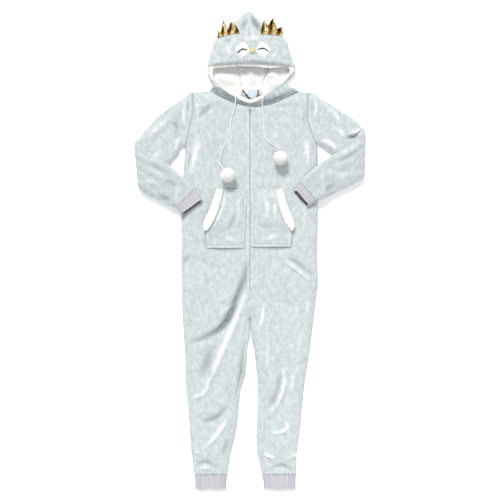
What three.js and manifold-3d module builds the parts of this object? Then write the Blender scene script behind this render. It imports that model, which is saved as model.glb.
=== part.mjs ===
// A grown-up's plush owl onesie, zipped up and laid on its back on a flat surface, forearms folded in over the sides.
// Millimetres. +X is the wearer's left, +Y runs from the ankles to the hood and +Z up off the surface.
// The origin is on the surface, under the middle of the garment.
import * as THREE from "three";
import { mergeVertices } from "three/addons/utils/BufferGeometryUtils.js";
import Module from "manifold-3d";

const PLUSH = 3; // wall of the plush shell
const SHERPA = 5; // wall of the hood's fleece lining
const RIB = 2.2; // wall of the ribbed cuffs
const SEAM = 0.3; // gap between two pieces that are sewn together
const SIDE_Z = PLUSH + SEAM; // underside of the front panel at the side seam, on the back panel's edge
const ROLL = 42; // distance from the side seam to where the front lies level
const ARMHOLE_DIP = 6;
const ARMHOLE_REACH = 35;
const LEAST_HEIGHT = SIDE_Z; // lowest underside of a front panel, in its deepest fold
const NECK_Y = 562; // back neck seam
const ZIP_TOP = 501;
const ZIP_END = -124;
const ZIP_SLOT = 2.5; // half the slot between the fronts
const CROTCH_Y = -243;
const HEM_Y = -786;
const FOOT_Y = -838;
const PEAK_Y = 838;
const SLEEVE_HALF = 6.2; // half height of the flattened sleeve
const ELBOW_R = 6.5; // radius of the sleeve's middle line round the elbow fold
const CORD_R = 2;

const PLUSH_GREY = new THREE.MeshStandardMaterial({ color: 0xccd5d3, roughness: 0.9 });
const BACK_GREY = new THREE.MeshStandardMaterial({ color: 0xc2cbc9, roughness: 0.9 });
const RIB_GREY = new THREE.MeshStandardMaterial({ color: 0xc4c2c8, roughness: 0.95 });
const FLEECE = new THREE.MeshStandardMaterial({ color: 0xf4f3ef, roughness: 1 });
const FELT = new THREE.MeshStandardMaterial({ color: 0xf7f6f2, roughness: 0.95 });
const BEAK_GOLD = new THREE.MeshStandardMaterial({ color: 0xd9d58c, roughness: 0.8 });
const LAME = new THREE.MeshStandardMaterial({ color: 0xc99b35, roughness: 0.3, metalness: 0.8 });
const ZIP_GREY = new THREE.MeshStandardMaterial({ color: 0xbfc4c4, roughness: 0.7 });
const METAL = new THREE.MeshStandardMaterial({ color: 0x9a9c9e, roughness: 0.35, metalness: 0.9 });
const CORD_WHITE = new THREE.MeshStandardMaterial({ color: 0xf6f5f2, roughness: 0.9 });
const TAPE_DARK = new THREE.MeshStandardMaterial({ color: 0x4b4f55, roughness: 0.8 });

const onesie = new THREE.Group();
const wasm = await Module();
wasm.setup();

// Turns rows of numbers into records with the named columns.
function table(columns, rows) {
  const names = columns.split(" ");
  return rows.map((row) => Object.fromEntries(names.map((name, i) => [name, row[i]])));
}

const mix = (a, b, t) => a + (b - a) * t;
const clamp01 = (t) => Math.min(Math.max(t, 0), 1);

// A column of a table at a value of its key column, which falls from row to row.
function at(rows, key, value, column) {
  let i = 0;
  while (i < rows.length - 2 && rows[i + 1][key] > value) i++;
  const t = clamp01((rows[i][key] - value) / (rows[i][key] - rows[i + 1][key]));
  return mix(rows[i][column], rows[i + 1][column], t);
}

// Makes a closed geometry from points and quads or triangles, facing out.
function closed(points, faces) {
  const index = [];
  for (const f of faces) {
    index.push(f[0], f[1], f[2]);
    if (f.length === 4) index.push(f[0], f[2], f[3]);
  }
  let volume = 0;
  const cross = new THREE.Vector3();
  for (let i = 0; i < index.length; i += 3) {
    const [a, b, c] = [points[index[i]], points[index[i + 1]], points[index[i + 2]]];
    volume += a.dot(cross.crossVectors(b, c));
  }
  if (volume < 0) index.reverse();
  const geometry = new THREE.BufferGeometry();
  geometry.setAttribute("position", new THREE.Float32BufferAttribute(points.flatMap((p) => p.toArray()), 3));
  geometry.setIndex(index);
  return geometry;
}

// A sheet of cloth: two grids of points, the upper face and the lower one, closed round the edge.
function sheet(upper, lower) {
  const rows = upper.length;
  const columns = upper[0].length;
  const id = (layer, i, j) => (layer * rows + i) * columns + j;
  const faces = [];
  for (let i = 0; i < rows - 1; i++) {
    for (let j = 0; j < columns - 1; j++) {
      faces.push([id(0, i, j), id(0, i + 1, j), id(0, i + 1, j + 1), id(0, i, j + 1)]);
      faces.push([id(1, i, j), id(1, i, j + 1), id(1, i + 1, j + 1), id(1, i + 1, j)]);
    }
  }
  const wall = (i0, j0, i1, j1) => faces.push([id(0, i0, j0), id(0, i1, j1), id(1, i1, j1), id(1, i0, j0)]);
  for (let j = 0; j < columns - 1; j++) {
    wall(0, j, 0, j + 1);
    wall(rows - 1, j + 1, rows - 1, j);
  }
  for (let i = 0; i < rows - 1; i++) {
    wall(i + 1, 0, i, 0);
    wall(i, columns - 1, i + 1, columns - 1);
  }
  return closed([...upper.flat(), ...lower.flat()], faces);
}

// A wall between two lofts of closed rings: open at both ends, or a bag when capped at the last rings.
function tube(outer, inner, capped = false) {
  const n = outer[0].length;
  const points = [...outer.flat(), ...inner.flat()];
  const start = outer.length * n;
  const faces = [];
  const loft = (base, rings, flip) => {
    for (let k = 0; k < rings - 1; k++) {
      for (let i = 0; i < n; i++) {
        const [a, b] = [base + k * n + i, base + k * n + ((i + 1) % n)];
        faces.push(flip ? [a, a + n, b + n, b] : [a, b, b + n, a + n]);
      }
    }
  };
  const cap = (base, flip) => {
    for (let i = 1; i < n - 1; i++) faces.push(flip ? [base, base + i + 1, base + i] : [base, base + i, base + i + 1]);
  };
  const rim = (a0, b0, flip) => {
    for (let i = 0; i < n; i++) {
      const j = (i + 1) % n;
      faces.push(flip ? [a0 + i, a0 + j, b0 + j, b0 + i] : [a0 + i, b0 + i, b0 + j, a0 + j]);
    }
  };
  loft(0, outer.length, false);
  loft(start, inner.length, true);
  rim(0, start, false);
  const [lastOuter, lastInner] = [(outer.length - 1) * n, start + (inner.length - 1) * n];
  if (capped) {
    cap(lastOuter, false);
    cap(lastInner, true);
  } else {
    rim(lastOuter, lastInner, true);
  }
  return closed(points, faces);
}

// The same loft, filled and capped at both ends.
function filled(rings) {
  const n = rings[0].length;
  const faces = [];
  for (let k = 0; k < rings.length - 1; k++) {
    for (let i = 0; i < n; i++) {
      const [a, b] = [k * n + i, k * n + ((i + 1) % n)];
      faces.push([a, b, b + n, a + n]);
    }
  }
  const last = (rings.length - 1) * n;
  for (let i = 1; i < n - 1; i++) {
    faces.push([0, i + 1, i]);
    faces.push([last, last + i, last + i + 1]);
  }
  return closed(rings.flat(), faces);
}

// A flat-ended block over a plan outline, from one height to another.
function block(outline, low, high) {
  const shape = new THREE.Shape(outline.map(([x, y]) => new THREE.Vector2(x, y)));
  return new THREE.ExtrudeGeometry(shape, { depth: high - low, bevelEnabled: false }).translate(0, 0, low);
}

function toManifold(geometry) {
  const bare = geometry.clone();
  bare.deleteAttribute("normal");
  bare.deleteAttribute("uv");
  const merged = mergeVertices(bare, 1e-4);
  return new wasm.Manifold(
    new wasm.Mesh({
      numProp: 3,
      vertProperties: new Float32Array(merged.attributes.position.array),
      triVerts: new Uint32Array(merged.index.array),
    }),
  );
}

function toGeometry(manifold) {
  const mesh = manifold.getMesh();
  const geometry = new THREE.BufferGeometry();
  geometry.setAttribute("position", new THREE.BufferAttribute(new Float32Array(mesh.vertProperties), 3));
  geometry.setIndex([...mesh.triVerts]);
  return geometry;
}

const cut = (geometry, ...tools) =>
  toGeometry(tools.reduce((body, tool) => body.subtract(toManifold(tool)), toManifold(geometry)));

function add(name, geometry, material) {
  const mesh = new THREE.Mesh(geometry, material);
  mesh.name = name;
  onesie.add(mesh);
  return mesh;
}

// The height of the upper face of some pieces at a plan point, over any seam there, or a floor value beside them.
const ray = new THREE.Raycaster();
const DOWN = new THREE.Vector3(0, 0, -1);
function topAt(pieces, x, y, floor = 0) {
  let z = floor;
  for (const dx of [-0.5, 0.5]) {
    ray.set(new THREE.Vector3(x + dx, y, 500), DOWN);
    const hit = ray.intersectObjects(pieces, false)[0];
    if (hit) z = Math.max(z, hit.point.z);
  }
  return z;
}

// The body, from the shoulder seam to the ankle hem. side is the armhole and then the side seam, and inner the
// centre front and then the inseam. lift is how much higher a row is at the centre, and crown the height of the
// front over its side seam.
const BODY = table("y rightSide rightInner leftInner leftSide lift crown", [
  [551, -203, -2.5, 2.5, 206, 24, 11.5],
  [526, -201, -2.5, 2.5, 204, 12, 13.5],
  [498, -199, -2.5, 2.5, 202, 5, 14.5],
  [457, -206, -2.5, 2.5, 200, 0, 15.5],
  [418, -215, -2.5, 2.5, 213, 0, 16.5],
  [358, -227, -2.5, 2.5, 238, 0, 16.5],
  [240, -236, -2.5, 2.5, 236, 0, 16.5],
  [128, -241, -2.5, 2.5, 238, 0, 16.5],
  [2, -241, -2.5, 2.5, 236, 0, 16.5],
  [-124, -241, -2.5, 2.5, 238, 0, 16.5],
  [-142, -240, -0.15, 0.15, 235, 0, 16.5],
  [-208, -238, -0.15, 0.15, 227, 0, 15.5],
  [-243, -236, -0.3, 0.3, 223, 0, 15.5],
  [-303, -232, -1.5, 3, 215, 0, 15.5],
  [-348, -229, -10, 15, 210, 0, 15.5],
  [-376, -227, -11, 18, 206, 0, 14.5],
  [-432, -227, -16, 24, 196, 0, 14.5],
  [-488, -224, -33, 28, 189, 0, 13.5],
  [-544, -217, -40, 28, 182, 0, 13.5],
  [-600, -213, -44, 25, 178, 0, 13],
  [-656, -210, -54, 22, 171, 0, 12.5],
  [-712, -206, -68, 26, 164, 0, 11.5],
  [HEM_Y, -196, -80, 42, 161, 0, 8.5],
]);

// Soft creases of the front, each a curve through three points: height is that of a ridge, or below 0 a trough.
const FOLDS = table("x0 y0 x1 y1 x2 y2 width height", [
  [0, -92, -68, -205, -214, -334, 14, -7],
  [-10, -124, -75, -300, -196, -516, 16, 5],
  [-18, -285, -36, -394, -52, -502, 10, 3.5],
  [100, -40, 180, -95, 232, -131, 12, 3],
  [107, -341, 108, -420, 104, -495, 13, 3],
  [-175, -590, -138, -586, -101, -592, 15, -3],
  [-84, -576, -115, -645, -159, -695, 12, 3.5],
  [112, -590, 114, -630, 110, -665, 12, 2.5],
  [-189, 402, -203, 330, -209, 257, 10, 4],
  [-172, 385, -184, 318, -190, 250, 10, -3],
  [-191, 439, -145, 470, -98, 495, 14, -4],
  [-170, 410, -125, 440, -80, 462, 14, 2.5],
  [228, -10, 150, -62, 60, -94, 18, -3],
  [20, -140, 92, -205, 190, -300, 20, -3],
  [196, 400, 204, 345, 206, 290, 12, 3],
  [-28, -16, -34, -70, -30, -120, 12, 2],
]);
const GATHER_WAVES = 5; // on each leg's front, above the ankle cuff
const GATHER_HEIGHT = 1.6;
const GATHER_REACH = 34;

function segmentDistance(x, y, ax, ay, bx, by) {
  const [dx, dy] = [bx - ax, by - ay];
  const t = clamp01(((x - ax) * dx + (y - ay) * dy) / (dx * dx + dy * dy));
  return Math.hypot(x - ax - dx * t, y - ay - dy * t);
}

const SHOULDER = [
  [BODY[0].rightSide, BODY[0].y, -140, 558],
  [BODY[0].leftSide, BODY[0].y, 171, 555],
];
const ARMHOLES = [];
const SIDES = [];
BODY.slice(0, -1).forEach((row, i) => {
  const next = BODY[i + 1];
  const list = next.y >= 358 ? ARMHOLES : SIDES;
  list.push([row.rightSide, row.y, next.rightSide, next.y]);
  list.push([row.leftSide, row.y, next.leftSide, next.y]);
  if (row.y <= CROTCH_Y) {
    list.push([row.rightInner, row.y, next.rightInner, next.y]);
    list.push([row.leftInner, row.y, next.leftInner, next.y]);
  }
});
const nearest = (lines, x, y) => Math.min(...lines.map((line) => segmentDistance(x, y, ...line)));
const edgeDistance = (x, y) => nearest([...SHOULDER, ...SIDES], x, y);

// A fold's height at a plan point: strongest along its middle, gone at its two ends.
function foldAt(fold, x, y) {
  const steps = 8;
  let best = Infinity;
  let place = 0;
  for (let k = 0; k < steps; k++) {
    const [a, b] = [k / steps, (k + 1) / steps].map((t) => {
      const [p, q, r] = [(1 - t) * (1 - 2 * t), 4 * t * (1 - t), t * (2 * t - 1)];
      return [p * fold.x0 + q * fold.x1 + r * fold.x2, p * fold.y0 + q * fold.y1 + r * fold.y2];
    });
    const d = segmentDistance(x, y, ...a, ...b);
    if (d < best) {
      best = d;
      place = (k + 0.5) / steps;
    }
  }
  const taper = Math.sin(Math.PI * mix(0.12, 0.88, place));
  return fold.height * taper * Math.exp(-((best / fold.width) ** 2));
}

// The underside of the two front panels.
function frontUnder(x, y) {
  const distance = edgeDistance(x, y);
  const swell = Math.sqrt(1 - (1 - clamp01(distance / ROLL)) ** 2);
  let z = SIDE_Z + at(BODY, "y", y, "crown") * swell;
  z -= ARMHOLE_DIP * swell * Math.exp(-((nearest(ARMHOLES, x, y) / ARMHOLE_REACH) ** 2));
  const fade = clamp01(distance / 22);
  for (const fold of FOLDS) z += fade * foldAt(fold, x, y);
  const side = x < at(BODY, "y", y, "rightInner") ? "right" : "left";
  const across = (x - at(BODY, "y", y, side + "Inner")) /
    (at(BODY, "y", y, side + "Side") - at(BODY, "y", y, side + "Inner"));
  z += fade * GATHER_HEIGHT * Math.cos(2 * Math.PI * GATHER_WAVES * across) * Math.exp((HEM_Y - y) / GATHER_REACH);
  return Math.max(z, LEAST_HEIGHT);
}

// The heights of a panel's rows: those of the table, and more between them, no further apart than a step.
function bodyRows(step) {
  const rows = [BODY[0].y];
  BODY.slice(1).forEach((row, i) => {
    const count = Math.ceil((BODY[i].y - row.y) / step);
    for (let k = 1; k <= count; k++) rows.push(mix(BODY[i].y, row.y, k / count));
  });
  return rows;
}

// One body panel, from its inner edge to its side.
function bodyPanel(side, step, across, innerOf, under) {
  const rows = bodyRows(step);
  const grid = (rise) => rows.map((rowY) => across.map((u) => {
    const x = mix(innerOf(rowY), at(BODY, "y", rowY, side + "Side"), u);
    const y = rowY + at(BODY, "y", rowY, "lift") * (1 - u);
    return new THREE.Vector3(x, y, under(x, y) + rise);
  }));
  return sheet(grid(PLUSH), grid(0));
}

// The hood, a flattened bag from the neck seam to the peak. sag is how far its front half hangs below its back half
// in a row, side the height of its edge, and top that of its upper face.
const HOOD = table("y sag right left side top", [
  [NECK_Y, 58, -140, 171, 8, 21],
  [579, 44, -127, 128, 9, 25],
  [597, 30, -143, 137, 11, 30],
  [611, 18, -149, 150, 13, 34],
  [628, 8, -151, 161, 14, 38],
  [648, 0, -147, 157, 14, 41],
  [674, 0, -142, 147, 14, 42],
  [702, 0, -135, 138, 13, 40],
  [730, 0, -124, 130, 12, 36],
  [754, 0, -107, 110, 11, 31],
  [779, 0, -80, 74, 9, 25],
  [803, 0, -54, 37, 8, 19],
  [823, 0, -31, 18, 6, 13],
  [835, 0, -13, 8, 4, 9],
  [PEAK_Y, 0, -6, 4, 3, 6],
]);
const HOOD_POINTS = 24;
const HOOD_FLAT = 0.85; // share of the width that lies flat on the surface

// One ring of the hood, set in from its outside by a wall.
function hoodRing(row, inset, down = 0) {
  const middle = (row.right + row.left) / 2;
  const half = (row.left - row.right) / 2;
  const ring = [];
  for (let i = 0; i < HOOD_POINTS; i++) {
    const angle = (2 * Math.PI * i) / HOOD_POINTS;
    const s = Math.cos(angle);
    const front = Math.sin(angle) > 1e-6;
    const lean = 1 - s * s;
    const edge = clamp01((Math.abs(s) - HOOD_FLAT) / (1 - HOOD_FLAT)) ** 2;
    const z = front
      ? row.side + (row.top - inset - row.side) * lean ** 0.42
      : inset + (row.side - inset) * edge;
    ring.push(new THREE.Vector3(middle + (half - inset) * s, row.y - (front ? row.sag * lean : 0) - down, z));
  }
  return ring;
}
const hoodRings = (inset, drop, down) => HOOD.slice(0, HOOD.length - drop).map((row) => hoodRing(row, inset, down));

// The face opening in the shell, and the smaller one in the lining, which shows past its edge all round.
const SHELL_OPENING = [
  [-180, 646], [-142, 646], [-95, 651], [0, 653], [66, 647], [157, 643], [190, 643], [190, 604],
  [122, 588], [72, 555], [21, 520], [6, 516], [-57, 539], [-112, 572], [-133, 582], [-180, 590],
];
const LINING_OPENING = [
  [-128, 632], [-95, 637], [0, 640], [66, 634], [138, 631], [131, 606], [115, 590], [21, 534],
  [4, 529], [-50, 550], [-104, 583], [-127, 606],
];
const OPENING_CUT_Z = 12.5; // the openings are cut from here up, so the back of the hood stays whole
const GUSSET = { rightTop: -46, leftTop: 66, rightLow: -23, leftLow: 33 }; // the lining's middle panel

// What the body panels are cut to: the filled hood, and the space over the neck opening inside its front edge.
const hoodBlank = filled(hoodRings(-SEAM, 0, SEAM));
const neckArc = hoodRing(HOOD[0], -SEAM, SEAM).slice(0, HOOD_POINTS / 2 + 1);
const neckBlock = block(neckArc.map((p) => [p.x, p.y]), SIDE_Z - SEAM / 2, 60);
const hoodShell = cut(tube(hoodRings(0, 0), hoodRings(PLUSH, 2), true), block(SHELL_OPENING, OPENING_CUT_Z, 80));
const liningShell = cut(
  tube(hoodRings(PLUSH + SEAM, 2), hoodRings(PLUSH + SEAM + SHERPA, 4), true),
  block(LINING_OPENING, OPENING_CUT_Z, 80),
);
const FAR = 400;
const halfSeam = SEAM / 2;
const rightOfCentre = block([[-halfSeam, 400], [-halfSeam, 900], [FAR, 900], [FAR, 400]], -5, 90);
const leftOfCentre = block([[halfSeam, 400], [halfSeam, 900], [-FAR, 900], [-FAR, 400]], -5, 90);
const hoodPieces = [
  add("hood_shell_right", cut(hoodShell, rightOfCentre), PLUSH_GREY),
  add("hood_shell_left", cut(hoodShell, leftOfCentre), PLUSH_GREY),
];

// The lining is cut along two lines that run from the neck up past the crown.
const gussetX = (side, y) => mix(GUSSET[side + "Low"], GUSSET[side + "Top"], (y - 560) / 83);
const gussetLine = (side, shift) => [[gussetX(side, 440) + shift, 440], [gussetX(side, 650) + shift, 650],
  [gussetX(side, 650) * 0.35 + shift, 850]];
const beyond = (line, x) => block([...line, [x, 850], [x, 440]], -5, 90);
// Below the opening its front edge runs on from the side panels to the centre front.
const lining = toManifold(liningShell);
const edgeBlock = toManifold(block([[-70, 440], [70, 440], [70, 548], [-70, 548]], OPENING_CUT_Z, 90));
const [liningBody, liningEdge] = [lining.subtract(edgeBlock), lining.intersect(edgeBlock)];
const liningPieces = [];
for (const [side, sign, half] of [["right", -1, rightOfCentre], ["left", 1, leftOfCentre]]) {
  const panel = liningBody.subtract(toManifold(beyond(gussetLine(side, sign * halfSeam), -sign * FAR)));
  const whole = toGeometry(panel.add(liningEdge.subtract(toManifold(half))));
  liningPieces.push(add("hood_lining_" + side, whole, FLEECE));
}
add("hood_lining_centre", toGeometry(liningBody
  .subtract(toManifold(beyond(gussetLine("right", halfSeam), -FAR)))
  .subtract(toManifold(beyond(gussetLine("left", -halfSeam), FAR)))), FLEECE);

// Fronts and backs, cut to the hood's base so that the neck seam fits all round.
const FRONT_STEP = 40;
const FRONT_ACROSS = [0, 0.04, 0.11, 0.21, 0.33, 0.46, 0.59, 0.72, 0.84, 0.93, 0.98, 1];
const BACK_STEP = 75;
const BACK_ACROSS = [0, 0.5, 1];
const fronts = [];
for (const [side, sign] of [["right", -1], ["left", 1]]) {
  const inner = (y) => at(BODY, "y", y, side + "Inner");
  const front = bodyPanel(side, FRONT_STEP, FRONT_ACROSS, inner, frontUnder);
  fronts.push(add("front_" + side, cut(front, hoodBlank, neckBlock), PLUSH_GREY));
  const backInner = (y) => (y > CROTCH_Y ? sign * halfSeam : inner(y));
  const back = bodyPanel(side, BACK_STEP, BACK_ACROSS, backInner, () => 0);
  add("back_" + side, cut(back, hoodBlank), BACK_GREY);
}

// A ring of a flattened sleeve or cuff: its two edges, the direction across it, and its half height.
const RING_FLAT = 0.7;
function flatRing({ a, b, across, half, wall = 0, points = 14, shift = () => 0, bump = () => 0 }) {
  const middle = new THREE.Vector3().addVectors(a, b).multiplyScalar(0.5);
  const reach = new THREE.Vector3().subVectors(a, b).multiplyScalar(0.5);
  const length = reach.length();
  reach.multiplyScalar((length - wall) / length);
  const ring = [];
  for (let i = 0; i < points; i++) {
    const angle = (2 * Math.PI * i) / points;
    const s = Math.cos(angle);
    const sign = Math.sign(Math.round(Math.sin(angle) * 1e6));
    const level = 1 - clamp01((Math.abs(s) - RING_FLAT) / (1 - RING_FLAT)) ** 2.2;
    const rise = sign * (half - wall) * level + bump(s, sign) + (wall ? 0 : shift(i, sign) * level);
    ring.push(middle.clone().addScaledVector(reach, s).addScaledVector(across, rise));
  }
  return ring;
}

// The sleeves. Each row is one section: top and low are the ends of its edge line, half its half height, and wave the
// height of its creases. The rows run from the armhole to the elbow, and then from the elbow to the cuff.
const UPPER_ARMS = {
  right: table("topX topY lowX lowY half wave", [
    [-178, 552, -196, 366, 7.6, 0],
    [-208, 541, -229, 355, 7.6, 0.8],
    [-245, 522, -252, 333, 7, 1],
    [-283, 499, -280, 303, SLEEVE_HALF, 0],
    [-322, 467, -312, 271, SLEEVE_HALF, 0],
    [-357, 432, -343, 243, SLEEVE_HALF, 0],
    [-381, 404, -364, 222, SLEEVE_HALF, 0],
  ]),
  left: table("topX topY lowX lowY half wave", [
    [176, 554, 206, 372, 7.6, 0],
    [210, 547, 239, 361, 7.6, 0.8],
    [245, 532, 266, 349, 7, 1],
    [283, 510, 290, 337, SLEEVE_HALF, 0],
    [322, 485, 316, 310, SLEEVE_HALF, 0],
    [357, 463, 347, 282, SLEEVE_HALF, 0],
    [382, 445, 371, 261, SLEEVE_HALF, 0],
  ]),
};
const ELBOWS = {
  right: { topX: -408, topY: 381, lowX: -392, lowY: 211, slip: 10 },
  left: { topX: 406, topY: 424, lowX: 401, lowY: 249, slip: 8 },
};
const FOREARMS = {
  right: table("topX topY lowX lowY half wave", [
    [-350, 343, -350, 189, SLEEVE_HALF, 1],
    [-315, 320, -315, 171, SLEEVE_HALF, 1.4],
    [-283, 299, -289, 158, SLEEVE_HALF, 1.2],
    [-238, 259, -272, 152, SLEEVE_HALF, 1],
    [-193, 219, -257, 150, SLEEVE_HALF, 0.8],
  ]),
  left: table("topX topY lowX lowY half wave", [
    [357, 375, 357, 226, SLEEVE_HALF, 1],
    [318, 352, 318, 210, SLEEVE_HALF, 1.4],
    [277, 324, 281, 190, SLEEVE_HALF, 1.6],
    [224, 287, 253, 177, SLEEVE_HALF, 1.2],
    [175, 241, 235, 172, SLEEVE_HALF, 0.8],
  ]),
};
const CUFF_MOUTHS = {
  right: { topX: -165, topY: 172, lowX: -237, lowY: 120 },
  left: { topX: 151, topY: 205, lowX: 200, lowY: 148 },
};
const ELBOW_STEPS = 6;
const OVER_GAP = 0.8; // least gap between a forearm and what it lies on
const UP = new THREE.Vector3(0, 0, 1);
const LIP = 7; // how far a cuff's lower lip shows past its upper one

// The height that a forearm's section clears: the front panel below it, and at least the upper arm.
function restHeight(row, least) {
  let z = least;
  for (let i = 0; i <= 8; i++) {
    const [x, y] = [mix(row.topX, row.lowX, i / 8), mix(row.topY, row.lowY, i / 8)];
    for (const dx of [-22, 0, 22]) {
      for (const dy of [-22, 0, 22]) z = Math.max(z, topAt(fronts, x + dx, y + dy, 0));
    }
  }
  return z;
}

for (const [side, sign] of [["right", -1], ["left", 1]]) {
  const outer = [];
  const inner = [];
  const push = (options) => {
    outer.push(flatRing(options));
    inner.push(flatRing({ ...options, wall: PLUSH }));
  };
  for (const row of UPPER_ARMS[side]) {
    const bump = (s, up) => (up > 0 ? row.wave * Math.sin(9 * s) * (1 - s * s) : 0);
    push({
      a: new THREE.Vector3(row.topX, row.topY, row.half),
      b: new THREE.Vector3(row.lowX, row.lowY, row.half),
      across: UP,
      half: row.half,
      bump,
    });
  }
  const elbow = ELBOWS[side];
  const setIn = sign * (ELBOW_R + SLEEVE_HALF);
  for (let k = 0; k <= ELBOW_STEPS; k++) {
    const turn = (Math.PI * k) / ELBOW_STEPS;
    const [out, z] = [sign * ELBOW_R * Math.sin(turn), SLEEVE_HALF + ELBOW_R * (1 - Math.cos(turn))];
    const slip = mix(elbow.slip / 2, -elbow.slip / 2, k / ELBOW_STEPS);
    push({
      a: new THREE.Vector3(elbow.topX - setIn + out, elbow.topY + slip, z),
      b: new THREE.Vector3(elbow.lowX - setIn + out, elbow.lowY + slip, z),
      across: new THREE.Vector3(-sign * Math.sin(turn), 0, Math.cos(turn)),
      half: SLEEVE_HALF,
    });
  }
  const overArm = 2 * ELBOW_R;
  for (const row of FOREARMS[side]) {
    const z = restHeight(row, overArm) + OVER_GAP + row.half;
    row.z = z;
    const bump = (s, up) => (up < 0 ? row.wave * Math.sin(8 * s + row.topX) * (1 - s * s) : 0);
    push({
      a: new THREE.Vector3(row.topX, row.topY, z),
      b: new THREE.Vector3(row.lowX, row.lowY, z),
      across: UP.clone().negate(),
      half: row.half,
      bump,
    });
  }
  const armhole = ARMHOLES.filter((line) => Math.sign(line[0]) === sign);
  const edge = [[armhole[0][0], 620], ...armhole.map(([x, y]) => [x + sign * SEAM, y]),
    [armhole.at(-1)[2] + sign * SEAM, 358], [armhole.at(-1)[2] + sign * SEAM, 340]];
  const bodyBlock = block([...edge, [sign * 120, 340], [sign * 120, 620]], -5, 19);
  add("sleeve_" + side, cut(tube(outer, inner), bodyBlock), PLUSH_GREY);

  const seam = FOREARMS[side].at(-1);
  const mouth = CUFF_MOUTHS[side];
  const mouthZ = Math.max(restHeight(mouth, overArm) + OVER_GAP + SLEEVE_HALF, seam.z);
  const along = new THREE.Vector3(mouth.topX + mouth.lowX - seam.topX - seam.lowX,
    mouth.topY + mouth.lowY - seam.topY - seam.lowY, 0).normalize();
  const ring = (row, z, t, wall) => {
    const tuck = along.clone().multiplyScalar(mix(SEAM, 0, t));
    const points = 44;
    const shape = flatRing({
      a: new THREE.Vector3(row.topX, row.topY, z).add(tuck),
      b: new THREE.Vector3(row.lowX, row.lowY, z).add(tuck),
      across: UP,
      half: SLEEVE_HALF,
      wall,
      points,
      shift: (i, up) => (i % 2 ? 0 : -up * 0.6),
    });
    return shape.map((p, i) => p.addScaledVector(along, t * (i > 0 && i < points / 2 ? -LIP : 0)));
  };
  add("wrist_cuff_" + side, tube(
    [ring(seam, seam.z, 0, 0), ring(mouth, mouthZ, 1, 0)],
    [ring(seam, seam.z, 0, RIB), ring(mouth, mouthZ, 1, RIB)],
  ), RIB_GREY);
}

// The ribbed ankle cuffs, each a flattened tube below its leg.
const ANKLES = table("name seamIn seamOut mouthIn mouthOut", [
  ["right", -80, -195, -85, -192],
  ["left", 42, 161, 50, 160],
]);
const ANKLE_HALF = 6.5;
for (const ankle of ANKLES) {
  const ring = (inX, outX, y, wall) => flatRing({
    a: new THREE.Vector3(inX, y, ANKLE_HALF),
    b: new THREE.Vector3(outX, y, ANKLE_HALF),
    across: UP,
    half: ANKLE_HALF,
    wall,
    points: 52,
    shift: (i, up) => (i % 2 && up > 0 ? -0.6 : 0),
  });
  const rows = [[ankle.seamIn, ankle.seamOut, HEM_Y - SEAM], [ankle.mouthIn, ankle.mouthOut, FOOT_Y]];
  add("ankle_cuff_" + ankle.name, tube(
    rows.map((row) => ring(...row, 0)),
    rows.map((row) => ring(...row, RIB)),
  ), RIB_GREY);
}

// The zip: a woven tape under the fronts, and the coil chain in the slot between them.
const TAPE_HALF = 12;
const TAPE = 0.8;
const TAPE_DROP = 1.3; // gap between the tape and the fronts
const CHAIN_HALF = 2.1;
const CHAIN = 2.9;
const zipRows = [ZIP_TOP, ...bodyRows(FRONT_STEP).filter((y) => y < ZIP_TOP && y >= ZIP_END)];
const strip = (halfWidth, z0, thickness, columns) => {
  const grid = (rise) => zipRows.map((y) => columns.map((u) =>
    new THREE.Vector3(u * halfWidth, y, frontUnder(u * halfWidth, y) + z0 + rise)));
  return sheet(grid(thickness), grid(0));
};
add("zip_tape", strip(TAPE_HALF, -TAPE_DROP - TAPE, TAPE, [-1, -0.2, 0.2, 1]), ZIP_GREY);
add("zip_chain", strip(CHAIN_HALF, SEAM - TAPE_DROP, CHAIN, [-1, 1]), ZIP_GREY);

// The slider, closed up to the neck: a plate on the chain and a bridge that carries the pull tab.
const SLIDER = { y: 492, width: 8, length: 12, plate: 2.2, bridge: 2, bar: 1.6, window: 5.4 };
const TAB = { width: 4.4, length: 24, thickness: 1.4, hole: 1.5, eye: 2.6, droop: 3.2 };
const sliderBase = topAt(fronts, -ZIP_SLOT - 1, SLIDER.y) + 0.4;
const hingeZ = sliderBase + SLIDER.plate + TAB.eye + SEAM;
const sliderPlate = new THREE.BoxGeometry(SLIDER.width, SLIDER.length, SLIDER.plate)
  .translate(0, SLIDER.y, sliderBase + SLIDER.plate / 2);
const bridgeShape = new THREE.Shape();
const bridgeTop = hingeZ + SLIDER.bar / 2;
bridgeShape.moveTo(-SLIDER.width / 2, sliderBase + 1);
bridgeShape.lineTo(SLIDER.width / 2, sliderBase + 1);
bridgeShape.lineTo(SLIDER.width / 2, bridgeTop - 1);
bridgeShape.lineTo(SLIDER.width / 2 - 1, bridgeTop);
bridgeShape.lineTo(-SLIDER.width / 2 + 1, bridgeTop);
bridgeShape.lineTo(-SLIDER.width / 2, bridgeTop - 1);
const windowPath = new THREE.Path();
windowPath.moveTo(-SLIDER.window / 2, sliderBase + SLIDER.plate);
windowPath.lineTo(-SLIDER.window / 2, hingeZ - SLIDER.bar / 2);
windowPath.lineTo(SLIDER.window / 2, hingeZ - SLIDER.bar / 2);
windowPath.lineTo(SLIDER.window / 2, sliderBase + SLIDER.plate);
bridgeShape.holes.push(windowPath);
const bridge = new THREE.ExtrudeGeometry(bridgeShape, { depth: SLIDER.bridge, bevelEnabled: false })
  .translate(0, 0, -SLIDER.bridge / 2)
  .rotateX(Math.PI / 2)
  .translate(0, SLIDER.y, 0);
add("zip_slider", toGeometry(toManifold(sliderPlate).add(toManifold(bridge))), METAL);

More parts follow.
